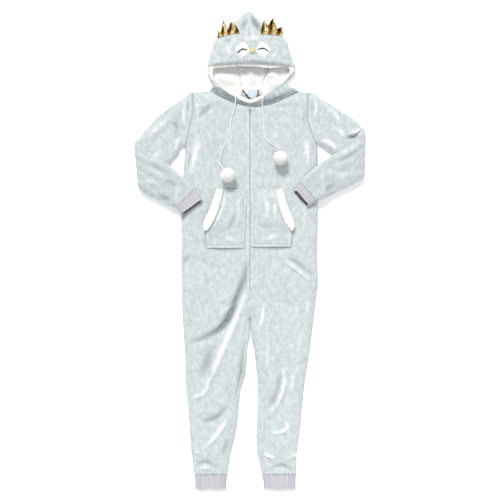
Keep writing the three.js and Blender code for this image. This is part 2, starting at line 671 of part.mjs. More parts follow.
// The pull tab turns about the bridge's bar. At rest it lies down the front, its tip just off the cloth.
const tabShape = new THREE.Shape();
const rootAngle = Math.asin(TAB.thickness / 2 / TAB.eye);
tabShape.absarc(0, 0, TAB.eye, Math.PI + rootAngle, 3 * Math.PI - rootAngle, false);
tabShape.lineTo(-TAB.length, -TAB.droop + TAB.thickness / 2);
tabShape.lineTo(-TAB.length, -TAB.droop - TAB.thickness / 2);
const eyeHole = new THREE.Path();
eyeHole.absarc(0, 0, TAB.hole, 0, 2 * Math.PI, true);
tabShape.holes.push(eyeHole);
const tab = new THREE.ExtrudeGeometry(tabShape, { depth: TAB.width, bevelEnabled: false, curveSegments: 10 })
  .translate(0, 0, -TAB.width / 2)
  .rotateY(Math.PI / 2)
  .rotateX(Math.PI / 2)
  .translate(0, SLIDER.y, hingeZ);
add("zip_pull_tab", tab, METAL);

// The two halves of the kangaroo pocket. Each is stitched down at its top, its bottom, beside the zip and at the lower
// part of its side, and stands open along its slanted hand opening.
const POCKETS = {
  right: table("y inner outer open", [
    [212, -10, -97, 0], [190, -11, -105, 0.8], [165, -13, -113, 1], [135, -15, -124, 1], [108, -17, -137, 1],
    [84, -18, -150, 0.8], [60, -19, -155, 0.15], [34, -20, -153, 0], [8, -21, -150, 0],
  ]),
  left: table("y inner outer open", [
    [212, 7, 97, 0], [190, 7, 105, 0.8], [165, 7, 114, 1], [135, 6, 125, 1], [108, 6, 135, 1],
    [84, 6, 147, 0.8], [60, 5, 148, 0.15], [34, 5, 144, 0], [12, 5, 142, 0],
  ]),
};
const POCKET_SWELL = 6.5;
const POCKET_ACROSS = [0, 0.12, 0.26, 0.42, 0.58, 0.74, 0.88, 1];
const pocketPieces = {};
for (const side of ["right", "left"]) {
  const rows = POCKETS[side];
  const grid = (rise) => rows.map((row) => POCKET_ACROSS.map((u) => {
    const x = mix(row.inner, row.outer, u);
    const swell = POCKET_SWELL * row.open * Math.sin((Math.PI / 2) * clamp01((u - 0.1) / 0.5));
    return new THREE.Vector3(x, row.y, topAt(fronts, x, row.y) + SEAM + 0.4 + swell + rise);
  }));
  pocketPieces[side] = add("pocket_" + side, sheet(grid(PLUSH), grid(0)), PLUSH_GREY);
}

// A padded strip along a line of points: a rounded section, flat below, set on what carries it.
function paddedStrip(line, widths, height, carriers, gap) {
  const rings = line.map(([x, y], i) => {
    const before = line[Math.max(i - 1, 0)];
    const after = line[Math.min(i + 1, line.length - 1)];
    const along = new THREE.Vector2(after[0] - before[0], after[1] - before[1]).normalize();
    const out = new THREE.Vector2(-along.y, along.x);
    const samples = [-0.5, -0.25, 0, 0.25, 0.5].flatMap((t) => [-9, 0, 9].map((step) => topAt(carriers,
      x + out.x * widths[i] * t + along.x * step, y + out.y * widths[i] * t + along.y * step)));
    const base = Math.max(...samples) + gap;
    const profile = [[-0.5, 0.3], [-0.42, 0.75], [-0.2, 1], [0.2, 1], [0.42, 0.75], [0.5, 0.3], [0.38, 0], [-0.38, 0]];
    return profile.map(([s, t]) =>
      new THREE.Vector3(x + out.x * widths[i] * s, y + out.y * widths[i] * s, base + height * t));
  });
  return filled(rings);
}
const TRIMS = {
  right: table("x y width", [
    [-99, 213, 18], [-106, 190, 19], [-115, 165, 20], [-127, 135, 22], [-140, 108, 25], [-150, 88, 25], [-158, 66, 10],
  ]),
  left: table("x y width", [
    [102, 214, 24], [108, 190, 25], [116, 165, 26], [128, 135, 27], [138, 108, 28], [148, 88, 24], [153, 66, 9],
  ]),
};
const TRIM_HEIGHT = 6;
for (const side of ["right", "left"]) {
  const rows = TRIMS[side];
  add("pocket_trim_" + side, paddedStrip(rows.map((row) => [row.x, row.y]), rows.map((row) => row.width), TRIM_HEIGHT,
    [...fronts, pocketPieces[side]], SEAM + 0.3), FLEECE);
}

// The gathered drawstring casing, a band over the rim of the hood.
const CASING = { from: -130, to: 138, width: 15.5, waves: 24, wave: 1.6, thickness: 2, columns: 60 };
const rimY = (x) => 654 - 9 * Math.abs(x / 140) ** 1.6;
const casingRow = (t, rise) => {
  const row = [];
  for (let i = 0; i <= CASING.columns; i++) {
    const u = i / CASING.columns;
    const x = mix(CASING.from, CASING.to, u);
    const y = rimY(x) + CASING.width * t;
    const gathered = 0.35 + 0.65 * Math.exp(-(((x - 2) / 70) ** 2));
    const ripple = CASING.wave * gathered * (0.5 + 0.5 * Math.cos(2 * Math.PI * CASING.waves * u));
    row.push(new THREE.Vector3(x, y, topAt(hoodPieces, x, y + 2) + SEAM + 0.5 + ripple + rise));
  }
  return row;
};
const casingRows = [0, 1];
const casing = add("hood_casing", sheet(
  casingRows.map((t) => casingRow(t, CASING.thickness)),
  casingRows.map((t) => casingRow(t, 0)),
), PLUSH_GREY);

// A flat patch round a middle point: radius gives its outline at each angle, and dome the extra height of its middle.
function patch({ x, y, radius, spokes = 24, rings = 3, thickness, dome = 0, carriers, gap, yFloor }) {
  const points = [];
  const faces = [];
  for (const layer of [0, 1]) {
    for (let r = 0; r <= rings; r++) {
      for (let i = 0; i < (r ? spokes : 1); i++) {
        const angle = (2 * Math.PI * i) / spokes;
        const [rx, ry] = radius(angle);
        const [px, py] = [x + (rx * r) / rings, y + (ry * r) / rings];
        const z = topAt(carriers, px, py, yFloor) + gap;
        points.push(new THREE.Vector3(px, py, z + (layer ? 0 : thickness + dome * (1 - (r / rings) ** 2))));
      }
    }
  }
  const size = 1 + rings * spokes;
  const id = (layer, r, i) => layer * size + (r ? 1 + (r - 1) * spokes + (i % spokes) : 0);
  for (let i = 0; i < spokes; i++) {
    faces.push([id(0, 0, 0), id(0, 1, i), id(0, 1, i + 1)]);
    faces.push([id(1, 0, 0), id(1, 1, i + 1), id(1, 1, i)]);
    for (let r = 1; r < rings; r++) {
      faces.push([id(0, r, i), id(0, r + 1, i), id(0, r + 1, i + 1), id(0, r, i + 1)]);
      faces.push([id(1, r, i), id(1, r, i + 1), id(1, r + 1, i + 1), id(1, r + 1, i)]);
    }
    faces.push([id(0, rings, i), id(1, rings, i), id(1, rings, i + 1), id(0, rings, i + 1)]);
  }
  return closed(points, faces);
}

// The face: two leaf-shaped eye patches of felt and a small padded beak.
const EYES = table("name x y across up tilt", [
  ["right", -26, 702, 22, 28, 0.12],
  ["left", 45, 703, 24, 26, -0.12],
]);
for (const eye of EYES) {
  const radius = (angle) => {
    const [c, s] = [Math.cos(angle), Math.sin(angle)];
    const [px, py] = [eye.across * c * (1 - 0.18 * Math.abs(s)), eye.up * s];
    return [px * Math.cos(eye.tilt) - py * Math.sin(eye.tilt), px * Math.sin(eye.tilt) + py * Math.cos(eye.tilt)];
  };
  add("eye_patch_" + eye.name, patch({
    x: eye.x, y: eye.y, radius, spokes: 20, rings: 2, thickness: 1.5, carriers: hoodPieces, gap: 0.5,
  }), FELT);
}
const BEAK = { x: 10, y: 698, across: 10, up: 9, thickness: 1.5, dome: 4 };
const beakRadius = (angle) => [BEAK.across * Math.cos(angle) * (1 + 0.15 * Math.sin(angle)), BEAK.up * Math.sin(angle)];
add("beak", patch({ ...BEAK, radius: beakRadius, spokes: 16, rings: 2, carriers: hoodPieces, gap: 0.5 }), BEAK_GOLD);

// The gold ears, each a creased flat crown of three points sewn on along its foot.
const EARS = {
  right: table("footX footY tipX tipY rise", [
    [-115, 745, -112, 757, 1], [-107, 747, -109, 770, 4], [-99, 749, -102, 759, 1], [-92, 751, -92, 807, 7],
    [-82, 754, -78, 771, 1], [-67, 757, -66, 799, 6], [-52, 759, -52, 790, 2], [-37, 760, -38, 768, 0],
  ]),
  left: table("footX footY tipX tipY rise", [
    [36, 757, 38, 766, 0], [47, 758, 47, 807, 6], [63, 758, 64, 794, 1], [76, 757, 80, 813, 7],
    [91, 756, 93, 771, 1], [104, 755, 111, 780, 5], [115, 755, 117, 761, 1],
  ]),
};
const EAR_THICKNESS = 2.4;
for (const side of ["right", "left"]) {
  const grid = (rise) => [0, 0.35, 0.7, 1].map((t) => EARS[side].map((row) => {
    const x = mix(row.footX, row.tipX, t);
    const y = mix(row.footY, row.tipY, t);
    const foot = topAt(hoodPieces, row.footX, row.footY, 12) + 0.8;
    const lift = Math.max(foot, topAt(hoodPieces, x, y, 12) + 0.8);
    return new THREE.Vector3(x, y, lift + row.rise * t + 2.5 * t + rise);
  }));
  add("ear_" + side, sheet(grid(EAR_THICKNESS), grid(0)), LAME);
}

// Inside the back neck: a bare label, and a hanging loop round it.
const LABEL = { x: 7, y: 546, across: 14, up: 12, thickness: 0.8 };
const labelRadius = (angle) => {
  const [c, s] = [Math.cos(angle), Math.sin(angle)];
  const power = s > 0 ? 0.25 : 0.7;
  return [LABEL.across * Math.sign(c) * Math.abs(c) ** power, LABEL.up * Math.sign(s) * Math.abs(s) ** power];
};
add("neck_label", patch({
  ...LABEL, radius: labelRadius, spokes: 20, rings: 1, carriers: [], gap: PLUSH + 0.5, yFloor: 0,
}), FELT);
const LOOP = table("x y", [
  [-26, 560], [-21, 549], [-14, 537], [-5, 529], [4, 525], [14, 526], [23, 531], [30, 541], [32, 551], [32, 560],
]);
add("hanging_loop", filled(LOOP.map((row, i) => {
  const before = LOOP[Math.max(i - 1, 0)];
  const after = LOOP[Math.min(i + 1, LOOP.length - 1)];
  const along = new THREE.Vector2(after.x - before.x, after.y - before.y).normalize();
  const z = PLUSH + 0.5;
  return [[-2, 0], [2, 0], [2, 1.4], [-2, 1.4]].map(([s, t]) =>
    new THREE.Vector3(row.x - along.y * s, row.y + along.x * s, z + t));
})), TAPE_DARK);

// The drawstrings, from the ends of the casing down the front to their pompoms.
const STRINGS = {
  right: table("x y", [
    [-50, 545], [-51, 524], [-52, 505], [-57, 486], [-63, 467], [-66, 450], [-68, 436], [-72, 417], [-76, 401],
    [-84, 381], [-90, 364], [-97, 346], [-101, 330], [-106, 314], [-106, 303],
  ]),
  left: table("x y", [
    [51, 546], [45, 528], [43, 512], [45, 494], [46, 477], [47, 460], [48, 441], [49, 424], [50, 405], [54, 388],
    [64, 376], [78, 369], [90, 362], [99, 354],
  ]),
};
const POMPOMS = {
  right: { x: -77, y: 260, radius: 27, core: 15 },
  left: { x: 105, y: 320, radius: 26, core: 14.5 },
};
const under = [...fronts, ...hoodPieces, ...liningPieces, casing];
const CORD_SIDES = 8;
const CORD_STEP = 12;
for (const [side, sign] of [["right", -1], ["left", 1]]) {
  const ball = POMPOMS[side];
  const centre = new THREE.Vector3(ball.x, ball.y, topAt(fronts, ball.x, ball.y) + ball.radius + 1.5);
  const route = STRINGS[side].map((row) => {
    const spread = [-4, 0, 4].flatMap((dx) => [-7, 0, 7].map((dy) => topAt(under, row.x + dx, row.y + dy)));
    return new THREE.Vector3(row.x, row.y, Math.max(...spread) + CORD_R + 0.6);
  });
  const last = route.at(-1);
  const entry = new THREE.Vector3().subVectors(last, centre).normalize();
  route.push(centre.clone().addScaledVector(entry, ball.core + 0.5));
  const curve = new THREE.CatmullRomCurve3(route);
  const circle = new THREE.Shape();
  for (let i = 0; i < CORD_SIDES; i++) {
    const angle = (2 * Math.PI * (i + 0.5)) / CORD_SIDES;
    const [x, y] = [CORD_R * Math.cos(angle), CORD_R * Math.sin(angle)];
    if (i) circle.lineTo(x, y);
    else circle.moveTo(x, y);
  }
  add("drawstring_" + side, new THREE.ExtrudeGeometry(circle, {
    steps: Math.round(curve.getLength() / CORD_STEP),
    extrudePath: curve,
    bevelEnabled: false,
  }), CORD_WHITE);

  // Each facet of the core carries a tapered three-sided lock, but for those about the string.
  const core = new THREE.IcosahedronGeometry(ball.core, 2);
  const facets = core.attributes.position;
  const points = [];
  const faces = [];
  for (let i = 0; i < facets.count; i += 3) {
    const corners = [0, 1, 2].map((k) => new THREE.Vector3().fromBufferAttribute(facets, i + k).add(centre));
    const middle = new THREE.Vector3().addVectors(corners[0], corners[1]).add(corners[2]).divideScalar(3);
    const out = new THREE.Vector3().subVectors(middle, centre).normalize();
    const base = points.length;
    points.push(...corners);
    const lock = (i / 3) % 3 !== 2 && out.dot(entry) < 0.72;
    if (lock) {
      const swirl = new THREE.Vector3(Math.sin(i), Math.cos(1.7 * i), Math.sin(2.3 * i)).multiplyScalar(1.8);
      const reach = ball.radius * (0.9 + 0.08 * Math.sin(i * sign));
      points.push(centre.clone().addScaledVector(out, reach).add(swirl));
      faces.push([base, base + 1, base + 3], [base + 1, base + 2, base + 3], [base + 2, base, base + 3]);
    } else {
      faces.push([base, base + 1, base + 2]);
    }
  }
  const tuft = closed(points, faces);
  add("pompom_" + side, toGeometry(toManifold(tuft)), CORD_WHITE);
}

export default onesie;
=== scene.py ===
# A grown-up's plush owl onesie, zipped up and laid on its back on a pale floor, its forearms folded in over
# the sides. +X is the wearer's left, +Y runs from the ankles to the hood and +Z is up off the floor. The
# tables below are in mm.
import math

import bpy
import numpy as np
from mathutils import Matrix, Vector, noise
from mathutils.bvhtree import BVHTree


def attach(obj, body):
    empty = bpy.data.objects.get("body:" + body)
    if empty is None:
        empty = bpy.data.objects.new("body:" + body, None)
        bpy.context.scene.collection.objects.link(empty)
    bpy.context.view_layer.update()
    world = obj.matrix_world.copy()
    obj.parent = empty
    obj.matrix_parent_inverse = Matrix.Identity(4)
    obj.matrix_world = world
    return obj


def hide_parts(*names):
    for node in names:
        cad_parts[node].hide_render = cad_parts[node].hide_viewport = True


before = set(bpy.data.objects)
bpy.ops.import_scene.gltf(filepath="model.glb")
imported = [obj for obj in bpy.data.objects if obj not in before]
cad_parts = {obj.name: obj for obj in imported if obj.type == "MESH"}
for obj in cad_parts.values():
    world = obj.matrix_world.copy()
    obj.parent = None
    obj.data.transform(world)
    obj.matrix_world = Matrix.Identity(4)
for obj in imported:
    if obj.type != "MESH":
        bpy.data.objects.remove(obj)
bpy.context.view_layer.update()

MM = 0.001

# The camera looks straight down at the middle of the garment, as the photographer's did, from far enough away
# that the hood is hardly nearer than the ankles.
FRAME_WIDTH = 1.75  # metres across the picture, at the height of the cloth
CLOTH_HEIGHT = 0.02
LENS = 85
SENSOR = 36
bpy.ops.object.camera_add(location=(0, 0, CLOTH_HEIGHT + FRAME_WIDTH * LENS / SENSOR), rotation=(0, 0, 0))
camera = bpy.context.object
camera.data.lens = LENS
camera.data.sensor_width = SENSOR
bpy.context.scene.camera = camera


# The two drawstrings are 4 mm round cords of braided white cotton. They leave the ends of the hood's casing,
# lie down the front and end in yarn pompoms, so they come before the cloth that they lie on.
def linear(hex_colour):
    parts = [int(hex_colour[i:i + 2], 16) / 255 for i in (1, 3, 5)]
    return tuple(c / 12.92 if c <= 0.04045 else ((c + 0.055) / 1.055) ** 2.4 for c in parts) + (1,)


def put(tree, kind, settings=None, inputs=None):
    """Adds a node: settings are its properties, inputs its sockets' values or the outputs that feed them."""
    made = tree.nodes.new("ShaderNode" + kind)
    for key, value in (settings or {}).items():
        setattr(made, key, value)
    for key, value in (inputs or {}).items():
        if isinstance(value, bpy.types.NodeSocket):
            tree.links.new(value, made.inputs[key])
        else:
            made.inputs[key].default_value = value
    return made


def finish_named(name, **constants):
    """A material with a bare shader, whose fixed values are set on its own sockets."""
    material = bpy.data.materials.new(name)
    material.use_nodes = True
    tree = material.node_tree
    tree.nodes.clear()
    shader = put(tree, "BsdfPrincipled", inputs={k.replace("_", " "): v for k, v in constants.items()})
    put(tree, "OutputMaterial", inputs={"Surface": shader.outputs[0]})
    return material, tree, shader


def surface(tree, shader, colour, height, depth, strength=1.0):
    """Gives a shader its colour, and a relief of depth mm by a height."""
    bump = put(tree, "Bump", inputs={"Height": height, "Distance": depth * MM, "Strength": strength}).outputs[0]
    tree.links.new(colour, shader.inputs["Base Color"])
    tree.links.new(bump, shader.inputs["Normal"])


def bands(apart):
    """The scale of a wave texture whose bands are this many mm apart."""
    return 0.314 / (apart * MM)


def pile(name, light, dark, patch, nap, depth, streak=1.0, ridge_highlight=None, hollow_shade=None, **constants):
    """A cloth with a soft pile: patches of brushed nap from light to dark, and the nap's own fine bumps.
    patch, nap and depth are in mm; streak above 1 draws the patches out down the garment. The last two colours
    are a painted highlight over ridges and painted shade in hollows, laid on by the nap attribute."""
    material, tree, shader = finish_named(name, **constants)
    place = put(tree, "TexCoord").outputs["Object"]
    drawn = put(tree, "Mapping", inputs={"Vector": place, "Scale": (1, 1 / streak, 1)}).outputs[0]
    broad = put(tree, "TexNoise", inputs={"Vector": drawn, "Scale": 1 / (patch * MM), "Detail": 4.0,
                                          "Roughness": 0.6}).outputs["Fac"]
    fine = put(tree, "TexNoise", inputs={"Vector": place, "Scale": 1 / (nap * MM), "Detail": 3.0,
                                         "Roughness": 0.65}).outputs["Fac"]
    both = put(tree, "Math", {"operation": "MULTIPLY_ADD"}, {0: fine, 1: 0.8, 2: broad}).outputs[0]
    share = put(tree, "MapRange", inputs={0: both, 1: 0.66, 2: 1.14}).outputs[0]
    colour = put(tree, "Mix", {"data_type": "RGBA"}, {0: share, 6: linear(dark), 7: linear(light)}).outputs[2]
    # the tufts break up the edges of the painted highlights and painted shade that follow
    broken = put(tree, "Math", {"operation": "MULTIPLY_ADD"}, {0: share, 1: 0.7, 2: 0.45}).outputs[0]
    for tone, most, full in ((ridge_highlight, 7, 1.15), (hollow_shade, -9, 1.1)):
        if tone:
            lie = put(tree, "Attribute", {"attribute_name": "nap"}).outputs["Fac"]
            even = put(tree, "MapRange", inputs={0: lie, 1: most / 9, 2: most, 4: full}).outputs[0]
            painted_light_amount = put(tree, "Math", {"operation": "MULTIPLY", "use_clamp": True},
                         {0: even, 1: broken}).outputs[0]
            colour = put(tree, "Mix", {"data_type": "RGBA"}, {0: painted_light_amount, 6: colour, 7: linear(tone)}).outputs[2]
    surface(tree, shader, colour, both, depth)
    return material


def braided(name, light, dark, strand):
    """Strands that cross on the slant, by the piece's UV map in metres."""
    material, tree, shader = finish_named(name, Roughness=0.85, Sheen_Weight=0.2)
    plan = put(tree, "TexCoord").outputs["UV"]
    ways = []
    for turn in (0.7, -0.7):
        slanted = put(tree, "Mapping", inputs={"Vector": plan, "Rotation": (0, 0, turn)}).outputs[0]
        ways.append(put(tree, "TexWave", inputs={"Vector": slanted, "Scale": bands(strand),
                                                 "Distortion": 0.4}).outputs["Fac"])
    crossed = put(tree, "Math", {"operation": "MAXIMUM"}, {0: ways[0], 1: ways[1]}).outputs[0]
    colour = put(tree, "Mix", {"data_type": "RGBA"}, {0: crossed, 6: linear(dark), 7: linear(light)}).outputs[2]
    surface(tree, shader, colour, crossed, 0.4, 0.8)
    return material


def smooth(keys, values, where):
    """A smooth line through a table's values at rising keys."""
    keys, values = np.asarray(keys, float), np.asarray(values, float)
    slopes = np.gradient(values, keys)
    i = np.clip(np.searchsorted(keys, where) - 1, 0, len(keys) - 2)
    span = keys[i + 1] - keys[i]
    t = np.clip((where - keys[i]) / span, 0, 1)
    return ((1 + 2 * t) * (1 - t) ** 2 * values[i] + t * (1 - t) ** 2 * span * slopes[i]
            + t * t * (3 - 2 * t) * values[i + 1] + t * t * (t - 1) * span * slopes[i + 1])


def cloth(name, across, along, place, flat, material, wall=0.0, shut=False, angle=50):
    """A flat grid of cloth of the size flat, moved into place by place(u, v), both in mm, and given its wall.
    Its UV map is in metres. shut joins its two long edges into a tube. place may also return painted light, as
    a
    nap attribute: a painted highlight over ridges, or painted shade below 0 in hollows, which the cloth's
    material reads."""
    bpy.ops.object.select_all(action="DESELECT")
    bpy.ops.mesh.primitive_grid_add(x_subdivisions=across, y_subdivisions=along, size=1)
    piece = bpy.context.object
    piece.name = piece.data.name = name
    mesh = piece.data
    flat_grid = np.empty(len(mesh.vertices) * 3)
    mesh.vertices.foreach_get("co", flat_grid)
    u, v = np.clip(flat_grid.reshape(-1, 3)[:, :2].T + 0.5, 0, 1)
    placed = place(u, v)
    mesh.vertices.foreach_set("co", (np.column_stack(placed[:3]) * MM).ravel())
    # the nap attribute holds the painted highlights and painted shade
    if len(placed) > 3:
        mesh.attributes.new("nap", "FLOAT", "POINT").data.foreach_set("value", placed[3].astype(np.float32))
    uv = np.empty(len(mesh.uv_layers[0].data) * 2)
    mesh.uv_layers[0].data.foreach_get("uv", uv)
    mesh.uv_layers[0].data.foreach_set("uv", (uv.reshape(-1, 2) * np.array(flat) * MM).ravel())
    mesh.update()
    if shut:
        bpy.ops.object.mode_set(mode="EDIT")
        bpy.ops.mesh.select_all(action="SELECT")
        bpy.ops.mesh.remove_doubles(threshold=1e-5)
        bpy.ops.mesh.delete_loose(use_faces=False)
        bpy.ops.mesh.select_all(action="SELECT")
        bpy.ops.mesh.normals_make_consistent(inside=False)
        bpy.ops.object.mode_set(mode="OBJECT")
    if wall:
        thick = piece.modifiers.new("wall", "SOLIDIFY")
        thick.thickness = wall * MM
        thick.offset = -1
        bpy.ops.object.modifier_apply(modifier="wall")
    dress(piece, material, angle)
    return piece


def pick(piece):
    """Selects one piece alone, as the active one."""
    bpy.ops.object.select_all(action="DESELECT")
    piece.select_set(True)
    bpy.context.view_layer.objects.active = piece


def dress(piece, material, angle=50):
    """Gives a piece its one material, and smooth shading over edges up to an angle in degrees."""
    pick(piece)
    piece.data.materials.clear()
    piece.data.materials.append(material)
    bpy.ops.object.shade_smooth_by_angle(angle=math.radians(angle))


def stands_for(piece, node):
    """Puts a finished piece of the garment in the place of its solid."""
    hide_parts(node)
    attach(piece, "garment")


def copies(name, model, places, material):
    """One mesh of many copies of a small model. Each place is a middle and three axes, all in mm."""
    mesh = model.data
    points = np.array([v.co for v in mesh.vertices])
    faces = [tuple(f.vertices) for f in mesh.polygons]
    every = np.concatenate([np.asarray(middle) + points @ np.asarray(axes, float) for middle, axes in places])
    joined = bpy.data.meshes.new(name)
    joined.from_pydata((every * MM).tolist(), [], [tuple(i + k * len(points) for i in f)
                                                   for k in range(len(places)) for f in faces])
    joined.update()
    piece = bpy.data.objects.new(name, joined)
    bpy.context.scene.collection.objects.link(piece)
    bpy.data.objects.remove(model)
    dress(piece, material)
    return piece


def lengths_to(points):
    """How far along a line of points each of them is."""
    return np.concatenate(([0], np.cumsum(np.linalg.norm(np.diff(points, axis=0), axis=1))))


def along_line(points, count):
    """A smooth line through points, as evenly spaced points with their directions, and its length."""
    points = np.asarray(points, float)
    steps = lengths_to(points)
    fine = np.linspace(0, steps[-1], count * 4)
    line = np.column_stack([smooth(steps, column, fine) for column in points.T])
    lengths = lengths_to(line)
    even = np.linspace(0, lengths[-1], count)
    line = np.column_stack([np.interp(even, lengths, column) for column in line.T])
    ahead = np.gradient(line, axis=0)
    return line, ahead / np.linalg.norm(ahead, axis=1)[:, None], lengths[-1]


def rounded_ends(v, length, radius):
    """The share of its full size that a roll has at v along it, as its two ends close round."""
    return np.sqrt(np.clip(1 - (1 - np.clip(np.minimum(v, 1 - v) * length / radius, 0, 1)) ** 2, 0, 1))


def rod(name, points, radius, material, rings=160, sides=12):
    """A round cord of a radius in mm along a line, closed at its ends, and that line's points."""
    line, ahead, length = along_line(points, rings + 1)
    side = np.column_stack((-ahead[:, 1], ahead[:, 0], np.zeros(len(ahead))))
    side /= np.maximum(np.linalg.norm(side, axis=1), 1e-9)[:, None]
    up = np.cross(ahead, side)
    up *= np.sign(up[:, 2:3] + 1e-9)

    def place(u, v):
        i = np.rint(v * rings).astype(int)
        turn = 2 * np.pi * u[:, None]
        at = line[i] + radius * rounded_ends(v, length, radius)[:, None] * (
            np.cos(turn) * side[i] + np.sin(turn) * up[i])
        return at[:, 0], at[:, 1], at[:, 2]

    return cloth(name, sides, rings, place, (2 * np.pi * radius, length), material, shut=True), line


CORD_RADIUS = 2.0
STRINGS = {
    "right": [(-50, 545, 25.3), (-51, 524, 24.9), (-52, 505, 23.6), (-57, 486, 24.1), (-63, 467, 24.9),
              (-66, 450, 25.2), (-68, 436, 25.3), (-72, 417, 25.4), (-76, 401, 25.4), (-84, 381, 25.4),
              (-90, 364, 25.4), (-97, 346, 25.4), (-101, 330, 25.4), (-106, 314, 25.4), (-106, 303, 25.4),
              (-98, 290, 29.5), (-84.8, 271.5, 44.4)],
    "left": [(51, 546, 26.2), (45, 528, 26.3), (43, 512, 24.9), (45, 494, 23.9), (46, 477, 24.1),
             (47, 460, 24.5), (48, 441, 25), (49, 424, 25.4), (50, 405, 25.4), (54, 388, 25.4),
             (64, 376, 25.4), (78, 369, 25.4), (90, 362, 25.4), (99, 354, 25.4), (104, 345, 28.5),
             (102.9, 332, 41.5)],
}
# braided cotton is matt, with a fine slanted grain where its strands cross
cotton_braid = braided("braided cotton cord", "#FFFEFB", "#E4E2DC", 1.5)
strings, string_lines = {}, {}
for side, route in STRINGS.items():
    strings[side], string_lines[side] = rod("drawstring_cord_" + side, route, CORD_RADIUS, cotton_braid)

# Each pompom is a ball of white yarn ends, tied round the drawstring and clipped round. The ends are one lock
# of yarn, copied all over a small core.
POMPOMS = {  # the middle, the radius of the clipped yarn, the core's radius and the seed of its locks
    "right": ((-77, 260, 51.3), 26.0, 18.5, 7), "left": ((105, 320, 50.3), 25.0, 17.8, 11)}
LOCKS = 1500
LAID_Z = 24.5  # the height of the front that the pompoms lie on
# yarn ends are matt and take light from every side, so the ball is soft and almost evenly white
yarn = pile("acrylic pompom yarn", "#FFFFFE", "#F6F5F2", 6, 3.0, 0.3, Roughness=1.0, Sheen_Weight=1.0,
            Sheen_Roughness=0.5)
for side, (centre, radius, core, seed) in POMPOMS.items():
    bpy.ops.object.select_all(action="DESELECT")
    bpy.ops.mesh.primitive_cone_add(vertices=5, radius1=1.2, radius2=1.7, depth=1, location=(0, 0, 0.5),
                                    end_fill_type="TRIFAN")
    lock = bpy.context.object
    bpy.ops.object.transform_apply(location=True)
    draw = np.random.default_rng(seed)
    places = []
    for k in range(LOCKS):
        height = 1 - 2 * (k + 0.5) / LOCKS
        turn = k * math.pi * (3 - math.sqrt(5))
        out = np.array([math.sqrt(1 - height ** 2) * math.cos(turn),
                        math.sqrt(1 - height ** 2) * math.sin(turn), height])
        lean = out + draw.normal(0, 0.13, 3)
        lean /= np.linalg.norm(lean)
        root = np.array(centre) + out * (core * 0.8)
        length = (radius - core * 0.8) * draw.uniform(0.9, 1.02)
        if root[2] + lean[2] * length < LAID_Z:
            length = max((LAID_Z - root[2]) / lean[2], 2) if lean[2] < 0 else length
        across = np.cross(lean, [0.3, 0.5, 0.8])
        across /= np.linalg.norm(across)
        places.append((root, (across, np.cross(lean, across), lean * length)))
    ends = copies("pompom_yarn_" + side, lock, places, yarn)
    bpy.ops.mesh.primitive_ico_sphere_add(subdivisions=4, radius=core * MM * 1.15,
                                          location=[c * MM for c in centre])
    heart = bpy.context.object
    bpy.ops.object.transform_apply(location=True)
    dress(heart, yarn)
    pick(ends)
    heart.select_set(True)
    bpy.ops.object.join()
    stands_for(ends, "pompom_" + side)
    stands_for(strings[side], "drawstring_" + side)

# The body is four panels of 3 mm plush, two fronts and two backs, sewn at the shoulders, sides and inside
# legs. The backs lie flat on the floor; the fronts round over to meet them and carry the creases.
PLUSH = 3.0
SEAM = 0.3
NECK_Y, SHOULDER_Y, CROTCH_Y, HEM_Y = 562, 551, -243, -786
BODY = np.array([  # y, right side, right inner, left inner, left side, crown; the wearer's right and left
    (551, -203, -2.5, 2.5, 206, 11.5), (526, -201, -2.5, 2.5, 204, 13.5), (498, -199, -2.5, 2.5, 202, 14.5),
    (457, -206, -2.5, 2.5, 200, 15.5), (418, -215, -2.5, 2.5, 213, 16.5), (358, -227, -2.5, 2.5, 238, 16.5),
    (240, -236, -2.5, 2.5, 236, 16.5), (128, -241, -2.5, 2.5, 238, 16.5), (2, -241, -2.5, 2.5, 236, 16.5),
    (-124, -241, -2.5, 2.5, 238, 16.5), (-142, -240, -0.15, 0.15, 235, 16.5),
    (-208, -238, -0.15, 0.15, 227, 15.5), (-243, -236, -0.3, 0.3, 223, 15.5),
    (-303, -232, -1.5, 3, 215, 15.5), (-348, -229, -10, 15, 210, 15.5), (-376, -227, -11, 18, 206, 14.5),
    (-432, -227, -16, 24, 196, 14.5), (-488, -224, -33, 28, 189, 13.5), (-544, -217, -40, 28, 182, 13.5),
    (-600, -213, -44, 25, 178, 13), (-656, -210, -54, 22, 171, 12.5), (-712, -206, -68, 26, 164, 11.5),
    (HEM_Y, -196, -80, 42, 161, 8.5)], float)[::-1]
COLUMNS = {"right": (1, 2), "left": (4, 3)}
